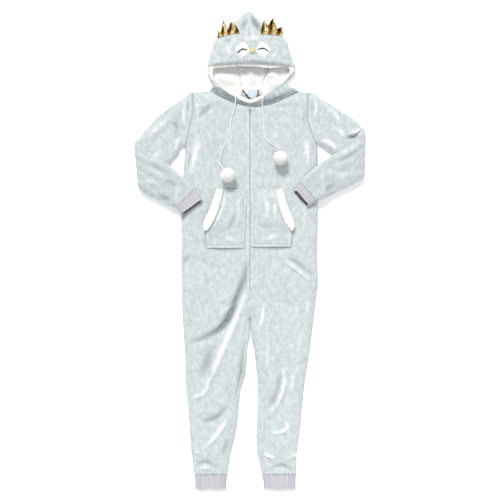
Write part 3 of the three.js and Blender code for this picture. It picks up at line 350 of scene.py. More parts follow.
# Creases of the fronts, each a curve through three points, with its width and its height, below 0 for a trough.
FOLDS = [
    (2, -20, -45, -165, -110, -285, 11, -9), (-50, -180, -100, -272, -224, -330, 10, -9),
    (-8, -140, -75, -300, -162, -505, 10, 7.5), (-140, -478, -172, -508, -208, -518, 6, 4),
    (-122, -325, -156, -404, -178, -460, 15, -5), (-21, -325, -30, -420, -54, -540, 6, -8),
    (-176, -594, -122, -590, -72, -536, 10, -6.5), (-82, -586, -108, -638, -164, -698, 8, 7),
    (-70, -655, -86, -695, -96, -730, 9, -5), (-190, -772, -160, -744, -104, -776, 7, -5.5),
    (-180, -774, -158, -762, -132, -774, 6, 3.5), (-198, -712, -190, -710, -176, -716, 5, 3.5),
    (114, -38, 160, -66, 226, -124, 5, 5), (122, -24, 170, -50, 230, -102, 7, -5.5),
    (46, -180, 43, -240, 22, -292, 7, 5), (112, -405, 114, -495, 60, -590, 7, 6.5),
    (96, -410, 96, -492, 48, -572, 8, -5), (148, -428, 148, -460, 146, -500, 6, 4.5),
    (128, -598, 118, -634, 66, -640, 6, 6), (46, -712, 64, -722, 90, -732, 5, 5.5),
    (170, -704, 156, -718, 136, -732, 5, 5), (68, -772, 114, -756, 156, -782, 7, -5.5),
    (-207, 352, -213, 312, -219, 270, 5, -6), (-178, 408, -194, 330, -208, 250, 14, 4.5),
    (-186, 456, -156, 486, -116, 522, 9, -5), (-190, 530, -183, 470, -196, 424, 5, 5),
    (-6, -250, -11, -330, -30, -420, 4, 5), (-26, -430, -38, -490, -48, -545, 4, 4),
    (216, -170, 205, -195, 196, -230, 9, 3), (194, 400, 201, 345, 203, 290, 13, 3.6),
    (-238, -58, -222, -34, -204, -12, 8, -5)]
SMALL_FOLDS = [
    (-20, -150, -60, -196, -120, -238, 7, 3), (-60, -130, -110, -190, -190, -250, 12, 2.6),
    (-150, -330, -140, -430, -118, -500, 12, -2.6), (-200, -20, -170, -90, -190, -160, 13, 2.4),
    (60, -260, 62, -350, 58, -430, 12, 3), (180, -250, 172, -350, 160, -450, 12, 2.6),
    (80, -500, 84, -560, 92, -600, 9, -3), (140, -560, 134, -640, 138, -690, 9, 2.6),
    (20, -640, 32, -665, 36, -692, 5, -4), (215, 230, 190, 140, 206, 50, 12, 2.6),
    (-60, 440, -70, 380, -56, 300, 14, 2.2), (80, 470, 92, 400, 88, 330, 14, 2.2),
    (-200, 480, -192, 440, -200, 400, 5, -3), (188, 505, 180, 470, 186, 430, 5, 3.5),
    (198, 480, 192, 440, 204, 400, 5, -3.4), (-100, 520, -150, 505, -190, 512, 8, 2.6),
    (60, 490, 120, 505, 190, 500, 9, -2.6), (-225, 60, -190, 40, -160, 10, 10, -2.4),
    (210, -160, 170, -210, 150, -260, 10, 2.4), (-130, 420, -120, 360, -140, 300, 18, -2.4),
    (130, 400, 150, 330, 140, 260, 18, -2.4), (-190, -30, -130, -60, -60, -64, 12, -2.4),
    (60, -150, 130, -190, 200, -196, 14, -2.6), (-200, -160, -140, -190, -90, -180, 12, -2.2),
    (-150, 20, -90, -6, -30, -10, 10, -2.2), (30, -4, 100, 0, 180, 16, 11, -2.2)]
# Painted shade alone, with no relief, along the edges of the pocket.
POCKET_EDGE_SHADE = [
    (-160, 70, -155, 36, -152, 4, 4, -6), (-152, 3, -85, 2, -22, 3, 4, -5),
    (-104, 217, -60, 215, -14, 215, 4, -4), (150, 70, 146, 36, 143, 8, 4, -5), (144, 7, 80, 6, 6, 8, 4, -5),
    (14, 215, 60, 215, 92, 216, 4, -2)]
ROLL = 42  # how far in from its side seams a front rounds up to its full height
FADE = 22  # and how far in its creases start
SIDE_Z = PLUSH + SEAM
GATHER_WAVES, GATHER_HEIGHT, GATHER_REACH = 5, 1.8, 34  # where the legs are gathered into the ankle cuffs


def bell(away, width):
    """A smooth swell, 1 in its middle and about a third at a width away."""
    return np.exp(-((away / width) ** 2))


def to_line(x, y, ax, ay, bx, by):
    """Distance of plan points from a line between two points."""
    dx, dy = bx - ax, by - ay
    t = np.clip(((x - ax) * dx + (y - ay) * dy) / (dx * dx + dy * dy), 0, 1)
    return np.hypot(x - ax - dx * t, y - ay - dy * t)


def creased(x, y, folds):
    """The height that a list of folds gives at plan points: most along each one's middle, none at its ends."""
    height = np.zeros(len(x))
    for x0, y0, x1, y1, x2, y2, width, rise in folds:
        near, place = np.full(len(x), 1e9), np.zeros(len(x))
        t = np.linspace(0, 1, 9)
        px = (1 - t) * (1 - 2 * t) * x0 + 4 * t * (1 - t) * x1 + t * (2 * t - 1) * x2
        py = (1 - t) * (1 - 2 * t) * y0 + 4 * t * (1 - t) * y1 + t * (2 * t - 1) * y2
        for k in range(8):
            away = to_line(x, y, px[k], py[k], px[k + 1], py[k + 1])
            dx, dy = px[k + 1] - px[k], py[k + 1] - py[k]
            part = np.clip(((x - px[k]) * dx + (y - py[k]) * dy) / (dx * dx + dy * dy), 0, 1)
            place = np.where(away < near, (k + part) / 8, place)
            near = np.minimum(away, near)
        height += rise * np.sin(np.pi * (0.04 + 0.92 * place)) * bell(near, width)
    return height


def body(column, y):
    return np.interp(y, BODY[:, 0], BODY[:, column])


SIDES, ARMHOLES = [], []
for low, high in zip(BODY[:-1], BODY[1:]):
    for column in (1, 4):
        (ARMHOLES if low[0] >= 358 else SIDES).append((low[column], low[0], high[column], high[0]))
    if high[0] <= CROTCH_Y:
        for column in (2, 3):
            SIDES.append((low[column], low[0], high[column], high[0]))
SHOULDERS = [(-203, 551, -140, 558), (206, 551, 171, 555)]


def nearest(x, y, lines):
    return np.min([to_line(x, y, *line) for line in lines], axis=0)


def front_top(x, y):
    """The height of the fronts' upper face."""
    away = nearest(x, y, SIDES + SHOULDERS)
    swell = np.sqrt(1 - (1 - np.clip(away / ROLL, 0, 1)) ** 2)
    z = SIDE_Z + body(5, y) * swell
    to_armhole = nearest(x, y, ARMHOLES)
    z -= 6 * swell * bell(to_armhole, 35) + 1.6 * bell(to_armhole, 4)
    fade = np.clip(away / FADE, 0, 1)
    z += fade * creased(x, y, FOLDS + SMALL_FOLDS)
    for outer, inner in COLUMNS.values():
        across = (x - body(inner, y)) / (body(outer, y) - body(inner, y))
        on = (across > 0) & (across < 1)
        waves = np.cos(2 * np.pi * (GATHER_WAVES + 0.4 * np.sin(9 * across)) * across)
        z += on * fade * GATHER_HEIGHT * waves * np.exp((HEM_Y - y) / GATHER_REACH)
    return np.maximum(z, SIDE_Z) + PLUSH


def neckline(x):
    """The y of the top edge of the fronts: the neck seam, and the shoulder seams beside it."""
    s = np.clip((x - 15.5) / 155.8, -1, 1)
    seam = NECK_Y - 0.6 - 58 * (1 - s * s)
    seam = np.where(x < -140, 558 + (x + 140) / 9, seam)
    return np.where(x > 171, 555 - (x - 171) / 8.75, seam)


def bent(row, top, start):
    """The y of a row of cloth: the rows above start bend more and more, to end on the top edge."""
    return np.where(row > start, start + (top - start) * (row - start) / (SHOULDER_Y - start), row)


FRONT_BEND, BACK_BEND = 440, 500
ZIP_FOOT, SLIDER_Y, SLIDER_SLOT = -130, 494, 9
# brushed plush has a random mottle of nap, drawn as coarse tufts 4.5 mm apart so that it shows at this
# distance; white is a painted highlight over ridges and the dark grey a painted shade in hollows.
plush = pile("brushed polyester plush", "#D6DDDC", "#B6BFBF", 13, 4.5, 1.2, 1.5, "#FFFFFF", "#848D91",
             Roughness=0.92, Sheen_Weight=0.5, Sheen_Roughness=0.35)
fronts = {}
for side, (outer, inner) in COLUMNS.items():
    def place(u, v):
        t = u if side == "left" else 1 - u
        row = HEM_Y + (SHOULDER_Y - HEM_Y) * v
        # the nap closes over the zip, and stands back for the slider
        edge = body(inner, row)
        over = (row > ZIP_FOOT) & (np.abs(bent(row, neckline(0.0), FRONT_BEND) - SLIDER_Y) > SLIDER_SLOT)
        edge = np.where(over, edge * 0.34, edge)
        x = edge + (body(outer, row) - edge) * t
        y = bent(row, neckline(x), FRONT_BEND)
        placket, beside_zip, to_neck = np.abs(x), y > ZIP_FOOT - 5, neckline(x) - y
        z = front_top(x, y) - 5 * bell(to_neck, 9)
        z = z + np.where(beside_zip & (placket < 30),
                         1.2 * bell(placket - 9, 4) - 0.9 * bell(placket - 16, 2.5), 0)
        z = np.maximum(z, SIDE_Z + PLUSH)
        # painted highlights on the ridges and beside the zip, and painted shade in the troughs, along the
        # pocket's edges, at the armhole seam and by the neck
        nap = creased(x, y, FOLDS) + 0.7 * creased(x, y, SMALL_FOLDS) + creased(x, y, POCKET_EDGE_SHADE)
        nap = nap + beside_zip * (2.6 * bell(placket - 7, 3) - 1.5 * bell(placket - 15, 3))
        nap = nap - 5 * bell(nearest(x, y, ARMHOLES), 3.5) - 2 * bell(to_neck, 14)
        return x, y, z, nap

    front = fronts[side] = cloth("front_cloth_" + side, 60, 330, place, (236, 1337), plush, wall=PLUSH)
    stands_for(front, "front_" + side)

BACK_FOLDS = [(-190, 300, -120, 240, -30, 250, 14, 1.6), (190, 320, 110, 270, 40, 280, 14, 1.6),
              (-160, -180, -90, -250, -40, -340, 14, 2), (160, -170, 100, -260, 40, -330, 14, 2),
              (-150, -520, -130, -600, -140, -680, 12, 1.6), (100, -500, 96, -590, 104, -680, 12, 1.6),
              (-100, 60, -60, -20, -90, -90, 15, 1.4), (120, 40, 80, -30, 100, -100, 15, 1.4)]
for side, (outer, inner) in COLUMNS.items():
    def place(u, v):
        t = 1 - u if side == "left" else u
        row = HEM_Y + (SHOULDER_Y - HEM_Y) * v
        start = np.where(row > CROTCH_Y, SEAM / 2 if side == "left" else -SEAM / 2, body(inner, row))
        x = start + (body(outer, row) - start) * t
        y = bent(row, np.where(np.abs(x - 15) < 150, 561.5, neckline(x)), BACK_BEND)
        away = nearest(x, y, SIDES + SHOULDERS)
        seat = 0.8 * bell(np.abs(x), 4) * (y > CROTCH_Y)
        return x, y, seat + np.clip(away / FADE, 0, 1) * np.maximum(creased(x, y, BACK_FOLDS), 0)

    back = cloth("back_cloth_" + side, 36, 200, place, (240, 1347), plush, wall=PLUSH)
    stands_for(back, "back_" + side)

# The sleeves are tubes of the same plush, flattened and folded over at the elbow, so that the forearm lies on
# the body. Each row is a section: the two ends of its edge line, and the height of its middle.
ARM_HALF, ELBOW_R = 6.2, 6.5
ARM_ROWS = {
    "right": [(-178, 552, -196, 366, 7.6), (-208, 541, -229, 355, 7.6), (-245, 522, -252, 333, 7),
              (-283, 499, -280, 303, 6.2), (-322, 467, -312, 271, 6.2), (-357, 432, -343, 243, 6.2),
              (-381, 404, -364, 222, 6.2)],
    "left": [(176, 554, 206, 372, 7.6), (210, 547, 239, 361, 7.6), (245, 532, 266, 349, 7),
             (283, 510, 290, 337, 6.2), (322, 485, 316, 310, 6.2), (357, 463, 347, 282, 6.2),
             (382, 445, 371, 261, 6.2)],
}
ELBOWS = {"right": (-408, 381, -392, 211, 10), "left": (406, 424, 401, 249, 8)}
FOREARM_ROWS = {
    "right": [(-350, 343, -350, 189, 20), (-315, 320, -315, 171, 20), (-283, 299, -289, 158, 20),
              (-238, 259, -272, 152, 28.05), (-193, 219, -257, 150, 29.8)],
    "left": [(357, 375, 357, 226, 20), (318, 352, 318, 210, 20), (277, 324, 281, 190, 20),
             (224, 287, 253, 177, 30.8), (175, 241, 235, 172, 30)],
}
ARM_FOLDS = {
    "right": [(-225, 520, -232, 470, -226, 430, 7, 5), (-250, 480, -258, 430, -250, 380, 9, -4),
              (-275, 470, -320, 430, -360, 390, 10, 4), (-300, 340, -330, 330, -350, 290, 10, 4),
              (-240, 520, -290, 480, -330, 440, 8, -3.4), (-284, 450, -268, 440, -248, 424, 5, -4),
              (-214, 536, -216, 500, -212, 470, 5, -4), (-240, 400, -256, 372, -262, 344, 6, 4)],
    "left": [(246, 384, 280, 372, 306, 346, 9, 7), (330, 394, 356, 395, 394, 403, 6, -8),
             (343, 405, 368, 413, 394, 428, 6, 6), (226, 524, 232, 490, 222, 462, 6, 6),
             (262, 500, 300, 470, 320, 430, 10, 4), (290, 430, 320, 410, 336, 390, 9, 3.6),
             (262, 352, 278, 340, 296, 326, 6, -5), (214, 530, 216, 490, 214, 450, 5, -4)],
}
FOREARM_FOLDS = {
    "right": [(-392, 340, -350, 312, -300, 290, 9, 4), (-390, 230, -350, 236, -322, 222, 9, 4),
              (-318, 190, -296, 178, -282, 186, 10, -5), (-380, 280, -330, 270, -290, 240, 12, 3.4),
              (-260, 250, -250, 210, -262, 170, 8, 3.4), (-300, 250, -270, 230, -230, 226, 9, -3.4),
              (-372, 336, -330, 288, -282, 262, 8, -3.4)],
    "left": [(388, 380, 352, 346, 300, 320, 9, 4), (390, 262, 350, 262, 322, 250, 9, 3.4),
             (372, 320, 330, 300, 290, 296, 11, 3.4), (262, 290, 256, 246, 262, 200, 8, 3.4),
             (300, 236, 276, 214, 262, 212, 9, -4), (330, 240, 300, 262, 262, 268, 9, 3),
             (380, 350, 340, 324, 300, 300, 8, -3.4)],
}


def flattened(s):
    """The height across a flattened tube, from 0 at its two edges, where s is 1 and -1, to 1."""
    return 1 - np.clip((np.abs(s) - 0.7) / 0.3, 0, 1) ** 2.2


def flat_tube(u):
    """Where u lies round a flattened tube: s across it, up as 1 or -1 for its upper or under wall, and the
    height there."""
    turn = 2 * np.pi * u
    s, up = np.cos(turn), np.sign(np.rint(np.sin(turn) * 1e6))
    return s, up, flattened(s)


def spanned(first, last, s):
    """What lies at s across a tube, from its first edge, at 1, to its last edge, at -1."""
    return (first + last) / 2 + (first - last) / 2 * s


SLEEVE_FLAT = {"right": (392, 560), "left": (380, 560)}
for side, sign in (("right", -1), ("left", 1)):
    # a whole row adds the half height and the way that the upper wall faces, as x and z
    rows = [(*row, row[4], 0.0, 1.0) for row in ARM_ROWS[side]]
    top_x, top_y, low_x, low_y, slip = ELBOWS[side]
    inset = sign * (ELBOW_R + ARM_HALF)
    for k in range(7):
        turn, shift = math.pi * k / 6, slip * (0.5 - k / 6)
        out = sign * ELBOW_R * math.sin(turn) - inset
        height = ARM_HALF + ELBOW_R * (1 - math.cos(turn))
        rows.append((top_x + out, top_y + shift, low_x + out, low_y + shift, height, ARM_HALF,
                     -sign * math.sin(turn), math.cos(turn)))
    rows += [(*row, ARM_HALF, 0.0, -1.0) for row in FOREARM_ROWS[side]]
    rows = np.array(rows)
    steps = lengths_to(np.column_stack(((rows[:, 0] + rows[:, 2]) / 2, (rows[:, 1] + rows[:, 3]) / 2,
                                        rows[:, 4])))
    elbow_start, elbow_end = steps[7], steps[13]

    def place(u, v):
        # the rows crowd together round the elbow
        seat = np.interp(v, [0, 0.38, 0.62, 1], [0, elbow_start, elbow_end, steps[-1]])
        tx, ty, lx, ly, z, half, ax, az = [smooth(steps, column, seat) for column in rows.T]
        s, up, level = flat_tube(u)
        x, y = spanned(tx, lx, s), spanned(ty, ly, s)
        # its first rows are drawn out to the armhole seam
        first = rows[0]
        armhole_x = body(COLUMNS[side][0], spanned(first[1], first[3], s)) + sign * SEAM
        x = x + (armhole_x - spanned(first[0], first[2], s)) * (1 - np.clip(seat / steps[2], 0, 1))
        upward = np.where(az * up > 0.5, 1, 0)
        past_elbow = seat - (elbow_start + elbow_end) / 2
        wrinkle = np.where(past_elbow < 0, creased(x, y, ARM_FOLDS[side]), creased(x, y, FOREARM_FOLDS[side]))
        ripple = 1.2 * np.sin(9 * s + seat / 60) * (1 - s * s)
        pleat = 1.6 * bell(past_elbow, 60) * np.sin(15 * s + 1) * (1 - s * s)
        rise = half * up * level
        lift = upward * level * (wrinkle + 0.5 * ripple)
        outward = up * level * pleat * (1 - upward * 0.3)
        armhole = bell(seat, 14) * upward * level
        x = x + ax * (rise + outward)
        z = z + az * (rise + outward) + lift - armhole * (3 + 1.2 * np.cos(60 * s))
        # painted highlights on the ridges and painted shade in the troughs, a painted highlight just past the
        # armhole seam and painted shade on it, and the forearm's top painted a little darker
        nap = upward * level * (wrinkle + 3 * bell(seat - 13, 5) - 4 * bell(seat, 5)
                                - np.where(past_elbow < 0, 0, 2.2))
        return x, y, np.maximum(z, 0), nap

    sleeve = cloth("sleeve_cloth_" + side, 96, 190, place, SLEEVE_FLAT[side], plush, wall=PLUSH, shut=True)
    stands_for(sleeve, "sleeve_" + side)


def tops(*pieces):
    """Gives the height in mm of the top of finished pieces at plan points in mm, over any seam there."""
    trees = [BVHTree.FromPolygons([v.co for v in p.data.vertices], [f.vertices for f in p.data.polygons])
             for p in pieces]

    def height(x, y, floor=0.0):
        z = np.full(len(x), float(floor))
        for i, (px, py) in enumerate(zip(x, y)):
            for tree in trees:
                for aside in (-0.6, 0.6):
                    hit = tree.ray_cast(Vector(((px + aside) * MM, py * MM, 1)), Vector((0, 0, -1)))[0]
                    if hit:
                        z[i] = max(z[i], hit.z / MM)
        return z
    return height


# The wrist and ankle cuffs are tubes of lilac-grey rib knit, sewn to the sleeves and legs with an overlocked
# seam. Their ribs run along the limb, and the mouths lie flat, half open.
RIB = 2.2


def knit(name, light, dark, shut, rib):
    """Rib knit by the UV map in metres: raised wales a rib apart, and the small loops along them."""
    material, tree, shader = finish_named(name, Roughness=0.95, Sheen_Weight=0.25)
    plan = put(tree, "TexCoord").outputs["UV"]
    wales, loops = [put(tree, "TexWave", {"bands_direction": way},
                        {"Vector": plan, "Scale": bands(apart), "Distortion": stray}).outputs["Fac"]
                    for way, apart, stray in (("X", rib, 0.3), ("Y", 0.45 * rib, 1.2))]
    fuzz = put(tree, "TexNoise", inputs={"Vector": plan, "Scale": 1 / (1.5 * MM), "Detail": 3.0}).outputs["Fac"]
    rows = put(tree, "Math", {"operation": "MULTIPLY_ADD"}, {0: loops, 1: 0.25, 2: wales}).outputs[0]
    both = put(tree, "Math", {"operation": "MULTIPLY_ADD"}, {0: fuzz, 1: 0.4, 2: rows}).outputs[0]
    share = put(tree, "MapRange", inputs={0: both, 1: 0.2, 2: 1.35}).outputs[0]
    colour = put(tree, "Mix", {"data_type": "RGBA"}, {0: share, 6: linear(dark), 7: linear(light)}).outputs[2]
    # painted shade inside the mouths, where the nap attribute is below 0
    lie = put(tree, "Attribute", {"attribute_name": "nap"}).outputs["Fac"]
    inside = put(tree, "MapRange", inputs={0: lie, 1: 0.0, 2: -1.0}).outputs[0]
    colour = put(tree, "Mix", {"data_type": "RGBA"}, {0: inside, 6: colour, 7: linear(shut)}).outputs[2]
    surface(tree, shader, colour, both, 0.7)
    return material


# rib knit is matt, with pale ridges 4.4 mm apart and darker grooves between them; its third colour is the
# painted shade inside the mouths
rib_knit = knit("cotton rib knit", "#D8D8DC", "#ABACB3", "#64656B", 4.4)
# spun thread has a faint shine along each stitch
thread_white = finish_named("white sewing thread", Base_Color=linear("#F4F2EE"), Roughness=0.7)[0]
thread_grey = finish_named("grey sewing thread", Base_Color=linear("#8E9397"), Roughness=0.7)[0]


def bead():
    """A small grain 1 across, which is drawn out into a stitch."""
    bpy.ops.object.select_all(action="DESELECT")
    bpy.ops.mesh.primitive_uv_sphere_add(segments=6, ring_count=4, radius=0.5)
    return bpy.context.object


def stitched(name, line, material, pitch=4.2, length=3.0, width=0.9, across=0.0):
    """Sews a row of stitches along a line of points in mm, each a small rounded dash, turned across the line by
    an angle."""
    count = max(int(along_line(line, 60)[2] / pitch), 2)
    places = []
    for point, way in zip(*along_line(line, count)[:2]):
        side = np.array([-way[1], way[0], 0.0])
        side /= max(np.linalg.norm(side), 1e-9)
        lie = way * math.cos(across) + side * math.sin(across)
        flank = np.cross([0, 0, 1.0], lie)
        places.append((point + [0, 0, 0.15 * width], (lie * length, flank * width, [0, 0, width])))
    seam = copies(name, bead(), places, material)
    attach(seam, "garment")


CUFFS = {  # the sections at the seam and at the mouth, and how far the mouth's upper lip stands back
    "right": ((-193, 219, -257, 150, 29.8), (-165, 172, -237, 120, 29.8), 6),
    "left": ((175, 241, 235, 172, 30), (151, 205, 200, 148, 30), 10),
}
WRIST_RIBS, ANKLE_RIBS = 22, 26
for side, (seam, mouth, lip_back) in CUFFS.items():
    seam, mouth = np.array(seam, float), np.array(mouth, float)
    run = (mouth[:2] + mouth[2:4] - seam[:2] - seam[2:4])
    run /= np.linalg.norm(run)

    def place(u, v):
        ends = seam[:, None] * (1 - v) + mouth[:, None] * v
        s, up, level = flat_tube(u)
        ribs = 0.55 * np.cos(WRIST_RIBS * 2 * np.pi * (s * 0.5 + 0.5)) * (1 - np.abs(s) ** 6)
        swell = 1 + 0.12 * np.sin(np.pi * v)
        bow = 3 * np.sin(np.pi * np.abs(s) / 2 + 0.3) * v
        lip = -lip_back * v * level * (up > 0)
        along = lip + 0.3 * (1 - v) - bow * 0.3
        x, y = spanned(ends[0], ends[2], s) + run[0] * along, spanned(ends[1], ends[3], s) + run[1] * along
        gather = 0.8 * np.sin(31 * s) * np.exp(-v / 0.2)
        gape = 3 * v ** 3 * (up > 0)
        # painted shade on the under wall inside the mouth, past the upper lip
        shade = -np.clip((v - 0.74) / 0.08, 0, 1) * (up < 0) * level
        return x, y, ends[4] + up * level * (ARM_HALF * swell - 0.6 + ribs + gather + gape), shade

    cuff = cloth("wrist_cuff_knit_" + side, 320, 22, place, (190, 44), rib_knit, wall=RIB, shut=True)
    stands_for(cuff, "wrist_cuff_" + side)

    def edge_line(shift, lift):
        s = np.linspace(0.9, -0.9, 30)
        return np.column_stack((spanned(seam[0], seam[2], s) + run[0] * shift,
                                spanned(seam[1], seam[3], s) + run[1] * shift,
                                seam[4] + ARM_HALF * flattened(s) + lift))

    stitched("wrist_stitches_" + side, edge_line(2.2, 0.0), thread_grey, 3.2, 2.2, 0.9, 0.5)
    stitched("wrist_overlock_" + side, edge_line(-1.0, 0.6), thread_white, 2.0, 3.4, 1.3, 1.3)

ANKLES = {"right": (-80, -195, -85, -192), "left": (42, 161, 50, 160)}  # x of the seam's ends and the mouth's
ANKLE_HALF, MOUTH_Y = 6.5, -838
for side, (seam_in, seam_out, mouth_in, mouth_out) in ANKLES.items():
    def place(u, v):
        s, up, level = flat_tube(u)
        inner, outer = seam_in + (mouth_in - seam_in) * v, seam_out + (mouth_out - seam_out) * v
        squeeze = 1 - 0.03 * np.sin(np.pi * v)
        ribs = 0.6 * np.cos(ANKLE_RIBS * 2 * np.pi * (s * 0.5 + 0.5)) * (1 - np.abs(s) ** 6)
        gather = 0.9 * np.sin(27 * s + 1) * np.exp(-v / 0.16)
        wave = 1.4 * np.sin(5.5 * s + seam_in) * v * (up > 0)
        x = (inner + outer) / 2 + (inner - outer) / 2 * s * squeeze
        y = HEM_Y - SEAM + (MOUTH_Y - HEM_Y + SEAM) * v + wave
        rise = up * level * (ANKLE_HALF - 0.6) + np.where(up > 0, ribs + gather, 0) * level
        return x, y, np.maximum(ANKLE_HALF + rise, 0.0)

    cuff = cloth("ankle_cuff_knit_" + side, 360, 26, place, (230, 52), rib_knit, wall=RIB, shut=True)
    stands_for(cuff, "ankle_cuff_" + side)
    s = np.linspace(-0.92, 0.92, 40)
    line = np.column_stack((spanned(seam_in, seam_out, s), np.full(40, HEM_Y - 1.2),
                            ANKLE_HALF * (1 + flattened(s)) - 0.2))
    stitched("ankle_overlock_" + side, line, thread_grey, 2.4, 3.0, 0.8, 1.3)

# The hood is two halves of plush, sewn down the middle from the peak, and sewn to the neck all round. It lies
# flat, its front half on its back half, and the face opening is cut in the front half below the rim.
HOOD = np.array([  # y, sag of the front half, right edge, left edge, height of the edge, height of the top
    (562, 58, -140, 171, 8, 21), (579, 44, -127, 128, 9, 25), (597, 30, -143, 137, 11, 30),
    (611, 18, -149, 150, 13, 34), (628, 8, -151, 161, 14, 38), (648, 0, -147, 157, 14, 41),
    (674, 0, -142, 147, 14, 42), (702, 0, -135, 138, 13, 40), (730, 0, -124, 130, 12, 36),
    (754, 0, -107, 110, 11, 31), (779, 0, -80, 74, 9, 25), (803, 0, -54, 37, 8, 19), (823, 0, -31, 18, 6, 13),
    (835, 0, -13, 8, 4, 9), (838, 0, -6, 4, 3, 6)], float)
HOOD_FOLDS = [
    (6, 818, 20, 792, 40, 758, 10, -9), (-8, 810, -20, 788, -34, 756, 9, -6), (1, 832, 1, 800, 0, 768, 5, 5),
    (-86, 720, -76, 696, -66, 668, 9, 4), (92, 690, 84, 676, 74, 664, 5, 5),
    (66, 690, 52, 668, 40, 660, 8, 3), (-110, 735, -80, 728, -50, 738, 10, -4),
    (54, 738, 84, 730, 112, 738, 10, -3.6), (-126, 690, -112, 672, -94, 662, 9, 3.4),
    (128, 700, 118, 680, 104, 664, 9, 3.4), (-40, 748, 0, 736, 40, 744, 9, 3),
    (-20, 672, 8, 664, 36, 670, 7, 3), (-58, 700, -64, 720, -54, 740, 8, 2.6),
    (82, 712, 90, 728, 84, 744, 9, 2.6), (-100, 700, -110, 720, -96, 736, 10, 2.6),
    (12, 726, 8, 740, 12, 762, 8, 2.6)]
COLLAR_FOLDS = [
    (-124, 560, -84, 532, -20, 512, 7, 2.6), (-110, 556, -70, 524, -20, 504, 8, -4.5),
    (66, 522, 100, 544, 150, 572, 7, 3.5), (40, 508, 90, 530, 140, 552, 8, -4),
    (92, 566, 104, 552, 110, 536, 4, -3), (106, 572, 120, 560, 130, 544, 4, -3),
    (72, 548, 84, 538, 88, 522, 4, -3), (44, 528, 54, 522, 58, 512, 4, -2.4), (80, 556, 92, 546, 98, 530, 4, 3),
    (98, 572, 110, 558, 118, 542, 4, 3)]
LINING_FOLDS = [(-116, 618, -84, 600, -52, 586, 17, 9), (60, 640, 76, 618, 96, 596, 24, 12),
                (-6, 650, 4, 616, 6, 580, 15, 8), (110, 600, 92, 586, 60, 570, 14, 5)]


def hood_point(u, y, inset):
    """A point of the hood's skin, set in by a wall: u goes round it and y is its row."""
    turn = 2 * np.pi * u
    s, front = np.cos(turn), np.sin(turn) > 1e-6
    sag, right, left, side, top = [smooth(HOOD[:, 0], HOOD[:, k], y) for k in range(1, 6)]
    lean = 1 - s * s
    edge = np.clip((np.abs(s) - 0.85) / 0.15, 0, 1) ** 2
    z = np.where(front, side + (top - inset - side) * lean ** 0.42, inset + (side - inset) * edge)
    x = (right + left) / 2 + ((left - right) / 2 - inset) * s
    return x, y - np.where(front, sag * lean, 0), z, front, lean


def slab(outline, low, high):
    """A block over a plan outline in mm, to cut cloth with."""
    n = len(outline)
    mesh = bpy.data.meshes.new("slab")
    mesh.from_pydata([(x * MM, y * MM, z * MM) for z in (low, high) for x, y in outline], [],
                     [tuple(range(n))[::-1], tuple(range(n, 2 * n))]
                     + [(i, (i + 1) % n, n + (i + 1) % n, n + i) for i in range(n)])
    made = bpy.data.objects.new("slab", mesh)
    bpy.context.scene.collection.objects.link(made)
    pick(made)
    bpy.ops.object.mode_set(mode="EDIT")
    bpy.ops.mesh.select_all(action="SELECT")
    bpy.ops.mesh.normals_make_consistent(inside=False)
    bpy.ops.object.mode_set(mode="OBJECT")
    return made


def trimmed(piece, outline, low=-20, high=120):
    """Cuts away what of a piece lies over a plan outline, between two heights."""
    blade = slab(outline, low, high)
    shears = piece.modifiers.new("trim", "BOOLEAN")
    shears.operation, shears.solver, shears.object = "DIFFERENCE", "EXACT", blade
    pick(piece)
    bpy.ops.object.modifier_apply(modifier="trim")
    bpy.data.objects.remove(blade)


def rounded(outline, count=120):
    """A closed outline with its corners smoothed."""
    ring = np.array(outline + outline[:3], float)
    steps = np.concatenate(([0], np.cumsum(np.hypot(*np.diff(ring, axis=0).T))))
    start, end = steps[1], steps[len(outline) + 1]
    where = np.linspace(start, end, count, endpoint=False)
    return list(zip(*[smooth(steps, column, where) for column in ring.T]))


SHELL_OPENING = [(-180, 646), (-142, 646), (-95, 651), (0, 653), (66, 647), (157, 643), (190, 643),
                 (190, 577), (122, 584), (72, 555), (21, 520), (6, 516), (-57, 539), (-112, 572),
                 (-130, 577), (-180, 574)]
LINING_OPENING = [(-128, 632), (-95, 637), (0, 640), (66, 634), (138, 631), (131, 606), (115, 590), (21, 534),
                  (4, 529), (-50, 550), (-104, 583), (-127, 606)]
OPENING_CUT_Z = 12.5


def hood_place(inset, wall, low, high, drop):
    """The whole hood as a bag with a wall: out from the neck to the peak, and back down inside."""
    def place(u, v):
        inside = (v > 0.5) & (v < 1 - 1e-6)
        t = 2 * np.minimum(v, 1 - v)
        y = low + (np.where(v > 0.5, high - drop, high) - low) * t
        x, y, z, front, lean = hood_point(u, y, np.where(inside, inset + wall, inset))
        level = np.clip(lean * 1.6, 0, 1) * front
        wrinkle = creased(x, y, HOOD_FOLDS) + creased(x, y, COLLAR_FOLDS)
        from_neck = y - neckline(x)
        # painted shade over the collar by the neck seam, darker on the wearer's right, with the creases'
        # painted highlights and shade
        painted_collar_shade = bell(from_neck, 30) * front * (np.abs(x) < 160)
        nap = level * wrinkle - painted_collar_shade * np.where(x < 20, 12, 8)
        z = z + level * wrinkle
        z = z - (2.8 if inset == 0 else 1.0) * level * bell(from_neck, 10)
        if inset == 0:
            # the seam from the peak draws the plush down, with a line of painted shade along it on the crown
            z = z - level * 1.6 * bell(x, 2.4) + level * 1.0 * bell(np.abs(x) - 6, 3)
            nap = nap - level * 3 * bell(x, 2.5) * (y > 740)
        closed = t > 0.999
        middle = (smooth(HOOD[:, 0], HOOD[:, 2], y) + smooth(HOOD[:, 0], HOOD[:, 3], y)) / 2
        return np.where(closed, middle, x), y, np.where(closed, 0.6 * smooth(HOOD[:, 0], HOOD[:, 5], y), z), nap
    return place


